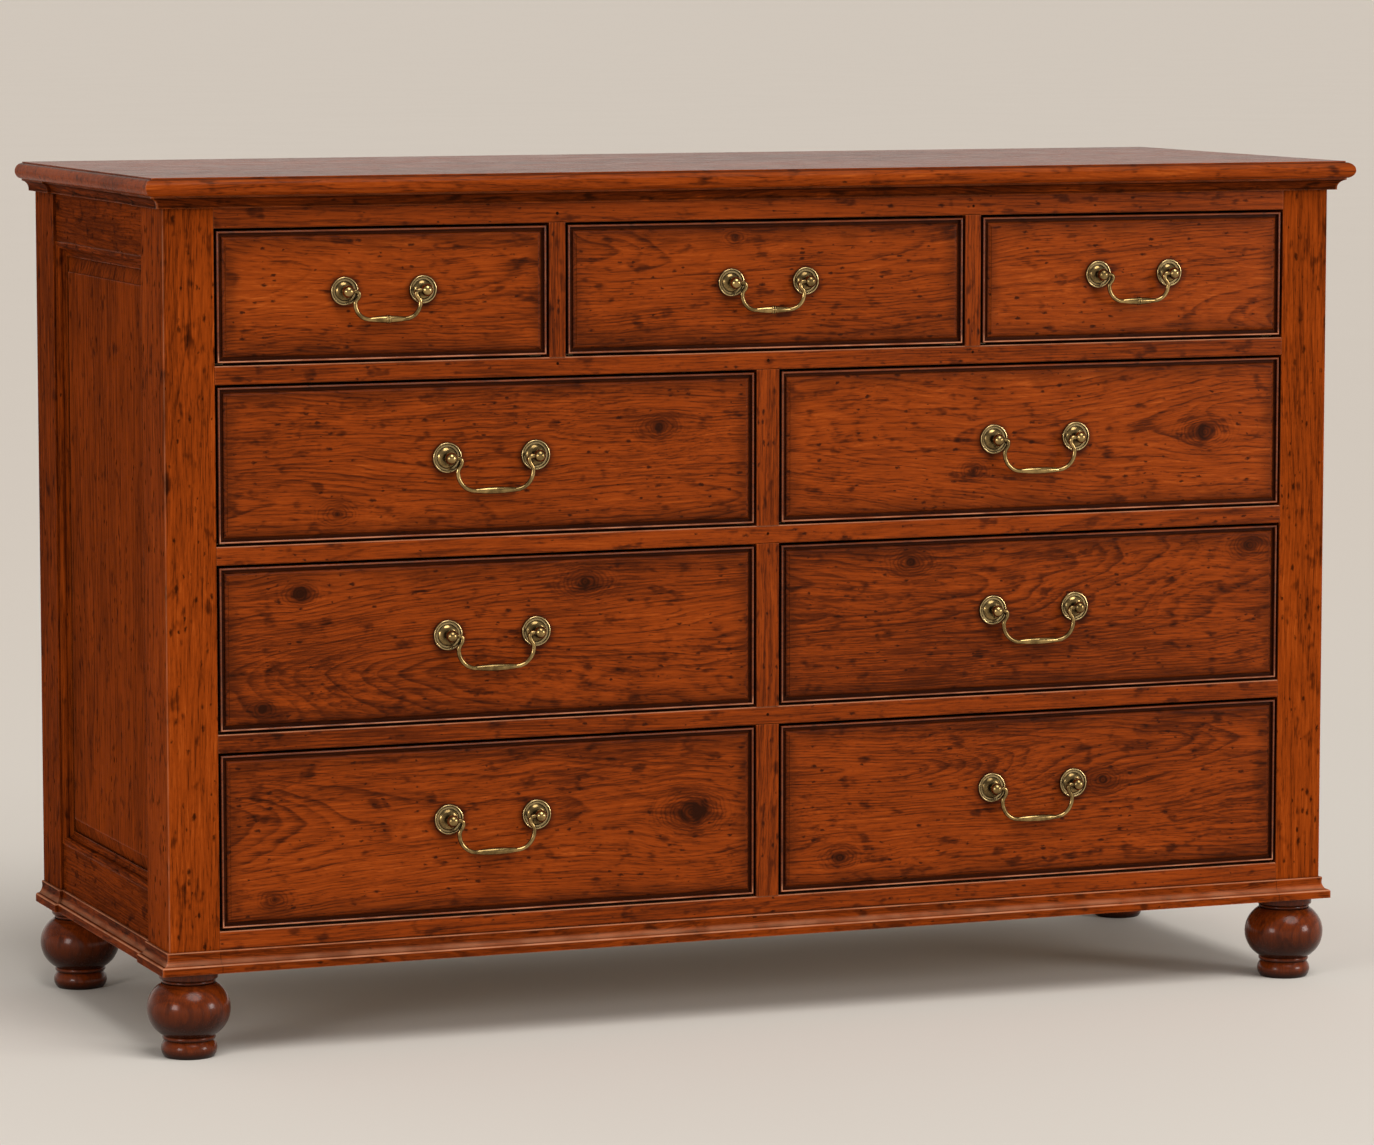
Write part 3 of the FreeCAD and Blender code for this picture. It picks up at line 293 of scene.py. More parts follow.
def make_knot_group():
    """Grain that parts round a knot, with the knot's heart, the eye lines about it and its stain."""
    bench, takes, gives = shader_group(
        "Knot in the grain",
        [("Grain", VECTOR), *numbers("Heart", "Stain", "Along", "Across", "Radius", "Reach")],
        [("Grain", VECTOR), *numbers("Heart", "Stain")],
    )
    along, across, deep = bench.split(takes["Grain"])
    away = bench.less(along, takes["Along"])
    aside = bench.less(across, takes["Across"])
    ragged = bench.noise(bench.stretch(takes["Grain"], 90, 90), detail=1).outputs["Fac"]

    long_way = bench.times(away, PARTED_OVAL)
    flow = bench.add(bench.times(long_way, long_way), bench.times(aside, aside))
    core = bench.times(bench.times(takes["Radius"], takes["Radius"]), 2.2)
    bend = bench.less(1.0, bench.math("DIVIDE", core, bench.add(flow, core)))
    parted = bench.add(takes["Across"], bench.times(aside, bend))
    bench.feed(gives["Grain"], bench.join(along, parted, deep))

    distance = bench.length(bench.times(away, HEART_OVAL), aside)
    distance = bench.times(distance, bench.add(0.75, bench.times(ragged, 0.5)))
    own_rings = bench.add(0.80, bench.times(bench.math("COSINE", bench.times(distance, HEART_WAVES)), 0.20))
    inner, outer = bench.times(takes["Radius"], 0.65), bench.times(takes["Radius"], 1.1)
    heart = bench.times(bench.fade(distance, inner, outer, 1, 0), own_rings)

    oval = bench.add(bench.math("SQRT", flow), bench.swing(ragged, 0.006))
    eye = bench.add(0.5, bench.times(bench.math("COSINE", bench.times(oval, EYE_WAVES)), 0.5))
    ebbing = bench.fade(oval, takes["Radius"], takes["Reach"], EYE_STRENGTH, 0)
    eye = bench.times(bench.math("POWER", eye, 2.0), ebbing)
    bench.feed(gives["Heart"], bench.larger(takes["Heart"], bench.larger(heart, eye)))

    stain = bench.fade(distance, bench.times(takes["Radius"], 0.6), takes["Reach"], 1, 0)
    bench.feed(gives["Stain"], bench.larger(takes["Stain"], stain))
    return bench.tree


def sway(bench, slow, ripple, wave):
    """How far the fibres wander sideways."""
    return bench.times(bench.add(bench.swing(slow, SLOW_SWAY), bench.swing(ripple, RIPPLE_SWAY)), wave)


def late_wood(bench, radius, ring, calm):
    """The dark end of each year's ring, some years stronger than others, and quiet near a knot."""
    turns = bench.math("DIVIDE", radius, ring)
    season = bench.node("ShaderNodeTexWhiteNoise", noise_dimensions="1D")
    bench.feed(season.inputs["W"], bench.math("FLOOR", turns))
    phase = bench.math("FRACT", turns)
    late = bench.times(bench.math("POWER", phase, 2.4), bench.fade(phase, 0.80, 1.0, 1, 0))
    late = bench.times(late, bench.add(0.25, bench.times(season.outputs["Value"], 1.0)))
    return bench.times(late, bench.less(1.0, bench.times(calm, 0.85)))


def small_dents(bench, straight, plenty, dent_size):
    """Ragged little dents that come in patches."""
    patch = bench.wood_noise(straight, "patches", detail=1.0).outputs["Fac"]
    ragged = bench.wood_noise(straight, "ragged", detail=1.0).outputs["Color"]
    cells = bench.node("ShaderNodeTexVoronoi", voronoi_dimensions="3D", feature="F1")
    torn = bench.shift(bench.stretch(straight, *GRAIN_WAVES["dents"]), bench.stretch(ragged, 0.45, 0.45))
    bench.feed(cells.inputs["Vector"], torn)
    cells.inputs["Scale"].default_value = 1.0
    chance, size, _ = bench.split(cells.outputs["Color"])
    reach = bench.times(bench.add(0.15, bench.times(bench.math("POWER", size, 2.0), 0.34)), dent_size)
    dents = bench.fade(cells.outputs["Distance"], bench.times(reach, 0.30), reach, 1, 0)
    return bench.times(dents, bench.fade(bench.add(chance, bench.add(patch, plenty)), 1.30, 1.38))


def make_board_group():
    """Growth rings, fibre, pores, smudges and dents of a board whose grain runs along the first axis."""
    bench, takes, gives = shader_group(
        "Board",
        [("Grain", VECTOR), ("Tree", VECTOR),
         *numbers("Pith across", "Pith deep", "Lean across", "Lean deep", "Ring", "Wave", "Heart", "Stain",
                  "Figure", "Fibre", "Dents", "Dent size", "Lightness"),
         ("Darkest", COLOUR), ("Dark", COLOUR), ("Middle", COLOUR), ("Light", COLOUR)],
        [("Colour", COLOUR), *numbers("Pits", "Height")],
    )
    straight = bench.shift(takes["Grain"], takes["Tree"])
    along, across, deep = bench.split(takes["Grain"])
    slow = bench.wood_noise(straight, "slow", detail=1.0)
    slow_across, slow_deep, slow_tint = bench.split(slow.outputs["Color"])
    ripple = bench.wood_noise(straight, "ripple", detail=2.0)
    ripple_across, ripple_deep, ripple_tint = bench.split(ripple.outputs["Color"])
    sway_across = sway(bench, slow_across, ripple_across, takes["Wave"])
    sway_deep = sway(bench, slow_deep, ripple_deep, takes["Wave"])
    wavy = bench.shift(straight, bench.join(0.0, sway_across, sway_deep))

    pith_across = bench.add(takes["Pith across"], bench.times(takes["Lean across"], along))
    pith_deep = bench.add(takes["Pith deep"], bench.times(takes["Lean deep"], along))
    radius = bench.length(bench.add(bench.less(across, pith_across), sway_across),
                          bench.add(bench.less(deep, pith_deep), sway_deep))
    late = late_wood(bench, radius, takes["Ring"], takes["Stain"])

    fibre = bench.wood_noise(wavy, "fibre", detail=2.0, roughness=0.6).outputs["Fac"]
    streak = bench.wood_noise(wavy, "streak", detail=2.0).outputs["Fac"]
    pore_field = bench.wood_noise(wavy, "pores", detail=1.0).outputs["Fac"]
    pores = bench.fade(bench.add(pore_field, bench.times(late, 0.12)), 0.57, 0.69)
    smudge_field = bench.wood_noise(straight, "smudges", detail=2.0, roughness=0.6).outputs["Fac"]
    smudges = bench.fade(smudge_field, 0.56, 0.78)
    dents = small_dents(bench, straight, takes["Dents"], takes["Dent size"])

    strands = bench.add(bench.swing(fibre, FIBRE_TONE), bench.swing(streak, STREAK_TONE))
    strands = bench.less(strands, bench.times(pores, PORE_TONE))
    tone = bench.add(takes["Lightness"], bench.times(strands, takes["Fibre"]))
    for cloud, strength in ((slow_tint, SLOW_TONE), (ripple_tint, RIPPLE_TONE)):
        tone = bench.add(tone, bench.swing(cloud, strength))
    darkening = ((late, takes["Figure"]), (smudges, SMUDGE_TONE), (takes["Stain"], KNOT_STAIN_TONE),
                 (takes["Heart"], KNOT_HEART_TONE))
    for mark, strength in darkening:
        tone = bench.less(tone, bench.times(mark, strength))

    colour = bench.tint(bench.fade(tone, -0.20, 0.22), takes["Darkest"], takes["Dark"])
    colour = bench.tint(bench.fade(tone, 0.13, 0.57), colour, takes["Middle"])
    colour = bench.tint(bench.fade(tone, 0.50, 0.98), colour, takes["Light"])
    bench.feed(gives["Colour"], bench.tint(bench.times(dents, DENT_COVER), colour, takes["Darkest"]))
    bench.feed(gives["Pits"], bench.larger(dents, bench.times(pores, 0.45)))
    raised = bench.add(bench.times(fibre, 0.30), bench.times(late, 0.10))
    sunken = bench.add(bench.times(pores, 0.25), bench.times(dents, 0.5))
    bench.feed(gives["Height"], bench.less(raised, sunken))
    return bench.tree


KNOT_GROUP = make_knot_group()
BOARD_GROUP = make_board_group()


def new_material(name):
    material = bpy.data.materials.new(name)
    material.use_nodes = True
    material.node_tree.nodes.clear()
    bench = Bench(material.node_tree)
    shader = bench.node("ShaderNodeBsdfPrincipled")
    ending = bench.node("ShaderNodeOutputMaterial")
    bench.feed(ending.inputs["Surface"], shader.outputs["BSDF"])
    return material, bench, shader


def use_group(bench, shared, **sources):
    made = bench.node("ShaderNodeGroup", node_tree=shared)
    for name, source in sources.items():
        bench.feed(made.inputs[name.replace("_", " ").capitalize()], source)
    return made


def centre_of(node):
    """The middle of a node's box, and half its size each way."""
    low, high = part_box(node)
    return [(a + b) / 2 for a, b in zip(low, high)], [(b - a) / 2 for a, b in zip(low, high)]


def grain_along(bench, local, axis):
    """The place with the grain's axis first."""
    x, y, z = bench.split(local)
    return {"x": bench.join(x, z, y), "y": bench.join(y, z, x), "z": bench.join(z, x, y)}[axis]


class Board:
    """One board's finish: bare wood first, then painted shade and highlights, dark seams, wear and polish laid
    over it in turn.
    """

    def __init__(self, node, stain):
        self.chance = random.Random(node)
        self.material, self.bench, self.shader = new_material(node)
        self.middle, self.half = centre_of(node)
        self.place = self.bench.node("ShaderNodeTexCoord").outputs["Object"]
        self.right, self.back, self.up = self.bench.split(self.place)
        self.facing = self.bench.split(self.bench.node("ShaderNodeNewGeometry").outputs["Normal"])[2]
        self.stain = stain
        self.shade_and_glaze = stain[0]

    def cover(self, share, colour):
        self.colour = self.bench.tint(share, self.colour, colour)

    def broken(self, share, low, high, least):
        """The share, broken up along its length so that a mark comes and goes."""
        return self.bench.times(share, self.bench.fade(self.soft, low, high, least, 1.0))

    def grow(self, grain, joints, fold, knots, ring, lean, pith, lightness, **figure):
        """Bare stained wood, with its fibres along the grain and parted round the knots."""
        bench, chance = self.bench, self.chance
        from_middle = [-value for value in self.middle]
        self.local = fold(bench, self.place) if fold else bench.shift(self.place, from_middle)
        fibres = grain_along(bench, self.local, grain[0])
        if joints:
            turned = grain_along(bench, self.local, grain[1])
            fibres = bench.pick(joints(bench, self.local, self.half), fibres, turned)
        heart = stain = 0.0
        for across, up, radius, reach in knots:
            knot = use_group(bench, KNOT_GROUP, grain=fibres, heart=heart, stain=stain,
                             along=across - self.middle[0], across=up - self.middle[2],
                             radius=radius, reach=reach)
            fibres, heart, stain = knot.outputs
        shades = zip(("darkest", "dark", "middle", "light"), self.stain)
        wood = use_group(
            bench, BOARD_GROUP, grain=fibres, heart=heart, stain=stain,
            tree=[chance.uniform(-40, 40) for _ in range(3)],
            pith_across=chance.choice((-1, 1)) * chance.uniform(0.2, 1.0) * pith,
            pith_deep=pith * chance.uniform(0.7, 1.2),
            lean_across=chance.uniform(-0.4, 0.4) * lean,
            lean_deep=chance.choice((-1, 1)) * chance.uniform(0.8, 1.4) * lean,
            ring=ring * chance.uniform(0.9, 1.15),
            lightness=lightness + chance.uniform(-0.025, 0.025),
            **figure, **{name: (*shade, 1.0) for name, shade in shades})
        self.colour, self.pits, self.height = wood.outputs
        elsewhere = bench.shift(self.place, [chance.uniform(-9, 9) for _ in range(3)])
        self.soft = bench.noise(elsewhere, detail=2.0, scale=26.0).outputs["Fac"]

    def shade_edges(self, axes):
        """Darker towards the edges of a panel or front."""
        bench = self.bench
        parts = bench.split(self.local)
        distances = [bench.less(self.half[axis], bench.size(parts[axis])) for axis in axes]
        self.inset = bench.math("MINIMUM", *distances)
        wavering = bench.add(self.inset, bench.swing(self.soft, 0.030))
        self.cover(bench.fade(wavering, 0.005, 0.030, EDGE_SHADE, 0), self.shade_and_glaze)

    def line_groove(self, start, stop):
        """Painted shade in the groove round a drawer front, and a painted highlight along the bead outside it,
        palest along the bottom.
        """
        bench = self.bench
        groove_shade = bench.band(self.inset, (start - 0.0004, start + 0.0006), (stop - 0.0022, stop + 0.0010))
        self.cover(bench.times(groove_shade, GROOVE_SHADE), self.shade_and_glaze)
        height = bench.split(self.local)[2]
        low = bench.fade(height, 0.004 - self.half[2], 0.012 - self.half[2], 1.0, 0.20)
        bead = bench.times(bench.line(self.inset, BEAD_CREST, BEAD_WIDTH), low)
        self.cover(bench.times(bead, bench.fade(self.soft, 0.36, 0.64, 0.25, 0.95)), WORN_WAX_AND_HIGHLIGHT)

    def rule_lines(self, seams, shaded_quirks, highlight_levels):
        """Dark upright seams, painted shade lines in level quirk grooves, and painted highlight lines along
        level edges.
        """
        bench = self.bench
        for seam in seams:
            line = bench.line(bench.size(self.right), seam, SEAM_WIDTH, SEAM_SHADE)
            self.cover(line, [SEAM_DARK * value for value in self.shade_and_glaze])
        for levels, colour, share in ((shaded_quirks, self.shade_and_glaze, QUIRK_SHADE), (highlight_levels, WORN_WAX_AND_HIGHLIGHT, HIGHLIGHT_LINE)):
            for level in levels:
                line = bench.line(self.up, level, LEVEL_WIDTH, share)
                self.cover(self.broken(line, 0.30, 0.60, 0.5), colour)

    def shade_round_pull(self, middle, level, half_spread, rosette, drop):
        """Painted shade round the two rosettes, where dirt also gathers, and a painted shadow under the hanging
        bail.
        """
        bench = self.bench
        aside = bench.size(bench.less(self.right, middle))
        from_rosette = bench.distance(bench.join(aside, 0.0, self.up), (half_spread, 0.0, level - 0.002))
        self.cover(bench.fade(from_rosette, rosette, rosette + 0.010, PULL_SHADOW, 0), self.shade_and_glaze)
        past_grip = bench.larger(bench.less(aside, 0.42 * half_spread), 0.0)
        under_bail = bench.distance(bench.join(past_grip, 0.0, self.up), (0.0, 0.0, level - drop - 0.007))
        self.cover(bench.fade(under_bail, 0.002, 0.012, BAIL_SHADOW, 0), self.shade_and_glaze)

    def wear_and_light_corner(self, side, front):
        """A pale line down the outer corner of a post: wear, and a painted highlight."""
        bench = self.bench
        past = bench.length(bench.less(bench.size(self.right), side), bench.less(self.back, front))
        self.cover(self.broken(bench.fade(past, *CORNER_WIDTH, CORNER_WEAR_AND_HIGHLIGHT, 0), 0.30, 0.60, 0.25), WORN_WAX_AND_HIGHLIGHT)

    def light_and_shade_by_slope(self, painted_sheen, lip_shade, under):
        """A painted sheen on slopes, a painted shade line where a flat top turns down into its edge, and
        painted shade underneath.
        """
        bench, facing = self.bench, self.facing
        if painted_sheen:
            slope = bench.band(facing, (0.20, 0.55), (0.82, 0.97), painted_sheen)
            self.cover(self.broken(slope, 0.30, 0.65, 0.4), WORN_WAX_AND_HIGHLIGHT)
        if lip_shade:
            self.cover(bench.band(facing, (0.78, 0.92), (0.975, 0.998), lip_shade), self.shade_and_glaze)
        if under:
            self.cover(bench.fade(facing, -0.75, 0.55, under, 0), self.shade_and_glaze)

    def shade_hollows_and_light_edges(self, shade_and_glaze, shade_reach, edge_wear_and_highlight):
        """Painted shade in the hollows, and arrises lightened to the lightest stain: wear, and a painted
        highlight.
        """
        bench = self.bench
        self.shaded_hollows = bench.times(bench.fade(bench.hollow(shade_reach), 0.25, 0.85, 1, 0), shade_and_glaze)
        self.cover(self.shaded_hollows, [HOLLOW_SHADE * value for value in self.shade_and_glaze])
        # Convex arrises lightened to the lightest stain: wear, and a painted highlight.
        arris = bench.hollow(ARRIS_REACH, inside=True, only_local=True)
        uneven = bench.add(arris, bench.swing(self.soft, 0.6))
        self.worn_and_highlit = bench.fade(uneven, 0.35, 0.75, edge_wear_and_highlight, 0)
        self.cover(self.worn_and_highlit, self.stain[3])
        bench.feed(self.shader.inputs["Base Color"], self.colour)

    def wax_and_polish(self, polish, shine, coat, waxed, relief, groove):
        """Wax on the top and the rubbed places, and a polish that the pores and dents break."""
        bench, sockets = self.bench, self.shader.inputs
        handled = bench.larger(self.worn_and_highlit, bench.fade(self.facing, 0.80, 0.97, coat, max(coat, waxed)))
        if groove:
            bead = bench.fade(self.inset, groove[0] - 0.0004, groove[0] + 0.0002, BEAD_WAX, 0)
            handled = bench.larger(handled, bead)
        bench.feed(sockets["Coat Weight"], handled)
        sockets["Coat Roughness"].default_value = WAX_ROUGHNESS
        gloss = bench.add(polish, bench.swing(self.soft, UNEVEN_POLISH))
        gloss = bench.add(gloss, bench.times(self.pits, DULL_PITS))
        bench.feed(sockets["Roughness"], bench.add(gloss, bench.times(self.shaded_hollows, DULL_HOLLOWS)))
        sockets["Specular IOR Level"].default_value = shine
        bench.bump(self.shader, self.height, relief, GRAIN_DEPTH)


def finish(node, material):
    slots = nodes[node].data.materials
    slots.clear()
    slots.append(material)


def finish_board(node, grain, stain=CHERRY_STAIN, joints=None, fold=None, knots=(),
                 ring=0.0031, wave=1.0, figure=0.26, fibre=1.0, dents=0.0, dent_size=1.0, lightness=0.50,
                 lean=0.03, pith=0.08, edges=None, groove=None, seams=(), shaded_quirks=(), highlight_levels=(), pull=None,
                 corner=None, painted_sheen=0.0, lip_shade=0.0, under=0.0, shade_and_glaze=0.80, shade_reach=0.012, edge_wear_and_highlight=0.38,
                 polish=0.32, shine=0.035, coat=0.0, waxed=0.0, relief=0.5):
    """Gives a node of the carcase or of a drawer its own board material."""
    board = Board(node, stain)
    board.grow(grain, joints, fold, knots, ring, lean, pith, lightness, wave=wave, figure=figure, fibre=fibre,
               dents=dents, dent_size=dent_size)
    if edges:
        board.shade_edges(edges)
    if groove:
        board.line_groove(*groove)
    board.rule_lines(seams, shaded_quirks, highlight_levels)
    if pull:
        board.shade_round_pull(*pull)
    if corner:
        board.wear_and_light_corner(*corner)
    board.light_and_shade_by_slope(painted_sheen, lip_shade, under)
    board.shade_hollows_and_light_edges(shade_and_glaze, shade_reach, edge_wear_and_highlight)
    board.wax_and_polish(polish, shine, coat, waxed, relief, groove)
    finish(node, board.material)


def foot_place(bench, place):
    """The place measured from the axis of whichever of the four feet it lies on."""
    x, y, z = bench.split(place)
    rear = bench.math("GREATER_THAN", y, (FRONT_FOOT + REAR_FOOT) / 2)
    across = bench.less(bench.size(x), FOOT_LINE)
    deep = bench.less(bench.less(y, FRONT_FOOT), bench.times(rear, REAR_FOOT - FRONT_FOOT))
    return bench.join(across, deep, z)


def front_or_side(bench, local, half):
    """1 on the side runs of a moulding that is mitred at the front corners, 0 on its front run."""
    x, y, _ = bench.split(local)
    past_side = bench.less(bench.size(x), half[0])
    past_front = bench.less(bench.times(y, -1.0), half[1])
    return bench.math("GREATER_THAN", past_side, past_front)


def level_or_upright(bench, local, half):
    """1 on the upright runs of a mitred panel moulding, 0 on its level runs."""
    _, y, z = bench.split(local)
    past_end = bench.less(bench.size(y), half[1])
    past_top = bench.less(bench.size(z), half[2])
    return bench.math("GREATER_THAN", past_end, past_top)


def across_or_side(bench, local, half):
    """1 on the two sides of a drawer box, 0 on its back and bottom."""
    x, _, _ = bench.split(local)
    return bench.math("GREATER_THAN", bench.size(x), half[0] - BOX_SIDE)


def finish_mouldings_and_top():
    # The top board has a painted shade line where its top turns down, and a faint painted sheen.
    finish_board("top_board", "x", ring=0.0045, pith=0.12, lean=0.02, lightness=0.47, dents=-0.05,
                 painted_sheen=0.06, lip_shade=0.60, polish=0.26, shine=0.008, coat=0.04, waxed=0.22, relief=0.10)
    # The cornice's dark stain and wide hollow shade are painted shade under the overhang of the top board.
    finish_board("cornice_moulding", "xy", joints=front_or_side, figure=0.2, lightness=0.14,
                 shaded_quirks=CORNICE_QUIRKS, shade_and_glaze=0.85, shade_reach=0.026, shine=0.0008)
    # The base has a painted sheen on its slopes, painted shade in its quirk and painted highlight lines along
    # its edges; its seam is a real joint.
    finish_board("base_moulding", "xy", joints=front_or_side, figure=0.2, fibre=0.75, lightness=0.37,
                 seams=(JAMB,), shaded_quirks=(BASE_QUIRK,), highlight_levels=BASE_EDGES, painted_sheen=0.40, coat=0.02, shine=0.002)


def finish_side(side):
    """The posts, rails, panel and panel moulding of one end: quiet straight wood, hardly shining; the pieces
    behind the front post take a darker stain and full hollow shade, as painted shade on the end.
    """
    finish_board(f"front_{side}_post", "z", wave=0.35, figure=0.2, dents=0.18, dent_size=1.2, lightness=0.47,
                 corner=POST_CORNER, shine=0.0008)
    finish_board(f"rear_{side}_post", "z", wave=0.35, figure=0.2, dents=0.10, lightness=0.36, shade_and_glaze=1.0,
                 shade_reach=0.020, shine=0.0005)
    finish_board(f"{side}_side_rails", "y", wave=0.5, figure=0.2, fibre=0.65, lightness=0.30, shade_and_glaze=1.0,
                 shade_reach=0.022, shine=0.0005)
    finish_board(f"{side}_side_panel", "z", wave=0.4, ring=0.0050, figure=0.2, fibre=0.75, dents=-0.05,
                 lightness=0.38, edges=(1, 2), shade_and_glaze=1.0, shade_reach=0.022, shine=0.0005)
    finish_board(f"{side}_panel_moulding", "yz", joints=level_or_upright, wave=0.4, figure=0.2,
                 lightness=0.36, shade_and_glaze=1.0, shade_reach=0.016, shine=0.0008)


def finish_front_frame():
    # Painted shade along the top of the base, and painted highlight lines along the rail tops.
    for node in ("top_rail", "drawer_rails", "bottom_rail"):
        finish_board(node, "x", wave=0.35, figure=0.2, fibre=0.85, dents=0.10, lightness=0.43,
                     shaded_quirks=(BASE_TOP,), highlight_levels=RAIL_TOPS)
    for node in ("top_row_dividers", "centre_stiles"):
        finish_board(node, "z", wave=0.35, figure=0.2, dents=0.12, lightness=0.42)


def finish_feet_and_inside():
    # The feet are darkened underneath as painted shade.
    finish_board("bun_feet", "z", fold=foot_place, ring=0.0050, pith=0.032, wave=0.25, figure=0.14,
                 fibre=0.40, dents=-0.12, lightness=0.33, under=1.0, polish=0.18, shine=0.18, relief=0.10)
    finish_board("back_panel", "x", stain=BROWN_BACK, ring=0.006, pith=0.12, lean=0.02,
                 polish=0.50, shine=0.15)
    inner_wood = {"rear_rails": "x", "drawer_runners": "y", "drawer_guides": "y", "drawer_kickers": "y"}
    for node, grain in inner_wood.items():
        finish_board(node, grain, stain=PALE_POPLAR, dents=-0.3, shade_and_glaze=0.5, polish=0.55, shine=0.15)


def finish_drawer(drawer):
    row = drawer.split("_")[0]
    middle, _ = centre_of(f"{drawer}_drawer_bail")
    pull = (middle[0], PULL_LINES[row], *(SMALL_PULL if row == "top" else LARGE_PULL))
    # Each front has painted shade in its groove and round its pull, and a painted highlight on its bead.
    finish_board(f"{drawer}_drawer_front", "x", knots=KNOTS.get(drawer, ()), pith=0.05, lean=0.06,
                 figure=0.34, dents=0.15, lightness=ROW_LIGHTNESS_AND_SHADE[row], edges=(0, 2), groove=FRONT_GROOVE,
                 pull=pull, shade_and_glaze=0.95, edge_wear_and_highlight=0.14)
    finish_board(f"{drawer}_drawer_box", "xy", stain=PALE_POPLAR, joints=across_or_side, dents=-0.3,
                 shade_and_glaze=0.4, polish=0.48, shine=0.2)


def brass_material():
    """Old cast brass: brown in the hollows, and worn bright on its rims where a hand touches it, the bright
    rims also standing as a painted highlight.
    """
    material, bench, shader = new_material("antique_brass")
    place = bench.node("ShaderNodeTexCoord").outputs["Object"]
    cloud = bench.noise(place, detail=4.0, roughness=0.6, scale=70.0).outputs["Fac"]
    grit = bench.noise(place, detail=2.0, scale=900.0).outputs["Fac"]
    colour = bench.tint(bench.fade(cloud, 0.32, 0.68), BRASS_DULL, BRASS_CLEAN)
    colour = bench.tint(bench.fade(grit, 0.62, 0.80, 0, 0.5), colour, BRASS_GRIT)
    # Rims lightened to the worn brass colour: wear, and a painted highlight.
    rim = bench.hollow(0.0030, inside=True, only_local=True)
    colour = bench.tint(bench.fade(rim, 0.15, 0.55, 0.85, 0), colour, BRASS_RUBBED_HIGHLIGHT)
    tarnish = bench.fade(bench.hollow(0.010), 0.66, 1.0, 1.0, 0)
    bench.feed(shader.inputs["Base Color"], bench.tint(tarnish, colour, BRASS_TARNISH))
    shader.inputs["Metallic"].default_value = 1.0
    roughness = bench.add(bench.fade(cloud, 0.3, 0.7, 0.25, 0.15), bench.times(tarnish, 0.2))
    bench.feed(shader.inputs["Roughness"], roughness)
    bench.bump(shader, bench.add(cloud, bench.times(grit, 0.5)), 0.25, 0.00012)
    return material


def finish_pulls():
    brass = brass_material()
    for drawer in DRAWERS:
        finish(f"{drawer}_drawer_pull_posts", brass)
        finish(f"{drawer}_drawer_bail", brass)


def peg_material():
    """End grain of a small peg, darkened by an old dark finish."""
    material, bench, shader = new_material("frame_pegs")
    place = bench.node("ShaderNodeTexCoord").outputs["Object"]
    cloud = bench.noise(place, detail=3.0, scale=800.0).outputs["Fac"]
    bench.feed(shader.inputs["Base Color"], bench.tint(bench.fade(cloud, 0.35, 0.7), PEG_DARK, PEG_BROWN))
    bench.feed(shader.inputs["Roughness"], bench.fade(cloud, 0.3, 0.7, 0.42, 0.30))
    shader.inputs["Specular IOR Level"].default_value = 0.01
    return material


def make_peg_tree():
    """A tree that sets a low domed head on every point, each turned and sized a little differently."""
    tree = bpy.data.node_groups.new("Peg heads", "GeometryNodeTree")
    tree.interface.new_socket("Places", in_out="INPUT", socket_type="NodeSocketGeometry")
    inputs = [*numbers("Head radius", "Head rise"), ("Seed", "NodeSocketInt"), ("Finish", "NodeSocketMaterial")]
    for label, kind in inputs:
        tree.interface.new_socket(label, in_out="INPUT", socket_type=kind)
    tree.interface.new_socket("Heads", in_out="OUTPUT", socket_type="NodeSocketGeometry")
    bench = Bench(tree)
    takes = bench.node("NodeGroupInput").outputs

    ball = bench.node("GeometryNodeMeshUVSphere")
    for label, value in (("Segments", 12), ("Rings", 6), ("Radius", 1.0)):
        ball.inputs[label].default_value = value
    dome = bench.node("GeometryNodeTransform")
    bench.feed(dome.inputs["Geometry"], ball.outputs["Mesh"])
    radius = takes["Head radius"]
    bench.feed(dome.inputs["Scale"], bench.join(radius, takes["Head rise"], radius))
    smooth = bench.node("GeometryNodeSetShadeSmooth")
    bench.feed(smooth.inputs[0], dome.outputs[0])

    def chance(least, most):
        made = bench.node("FunctionNodeRandomValue", data_type="FLOAT")
        bench.feed(made.inputs[2], least)
        bench.feed(made.inputs[3], most)
        bench.feed(made.inputs["Seed"], takes["Seed"])
        return made.outputs[1]

    heads = bench.node("GeometryNodeInstanceOnPoints")
    bench.feed(heads.inputs["Points"], takes["Places"])
    bench.feed(heads.inputs["Instance"], smooth.outputs[0])
    bench.feed(heads.inputs["Rotation"], bench.join(0.0, chance(0.0, math.tau), 0.0))
    bench.feed(heads.inputs["Scale"], chance(0.85, 1.0))
    solid = bench.node("GeometryNodeRealizeInstances")
    bench.feed(solid.inputs[0], heads.outputs[0])
    dressed = bench.node("GeometryNodeSetMaterial")
    bench.feed(dressed.inputs["Geometry"], solid.outputs[0])
    bench.feed(dressed.inputs["Material"], takes["Finish"])
    bench.feed(bench.node("NodeGroupOutput").inputs[0], dressed.outputs[0])
    return tree


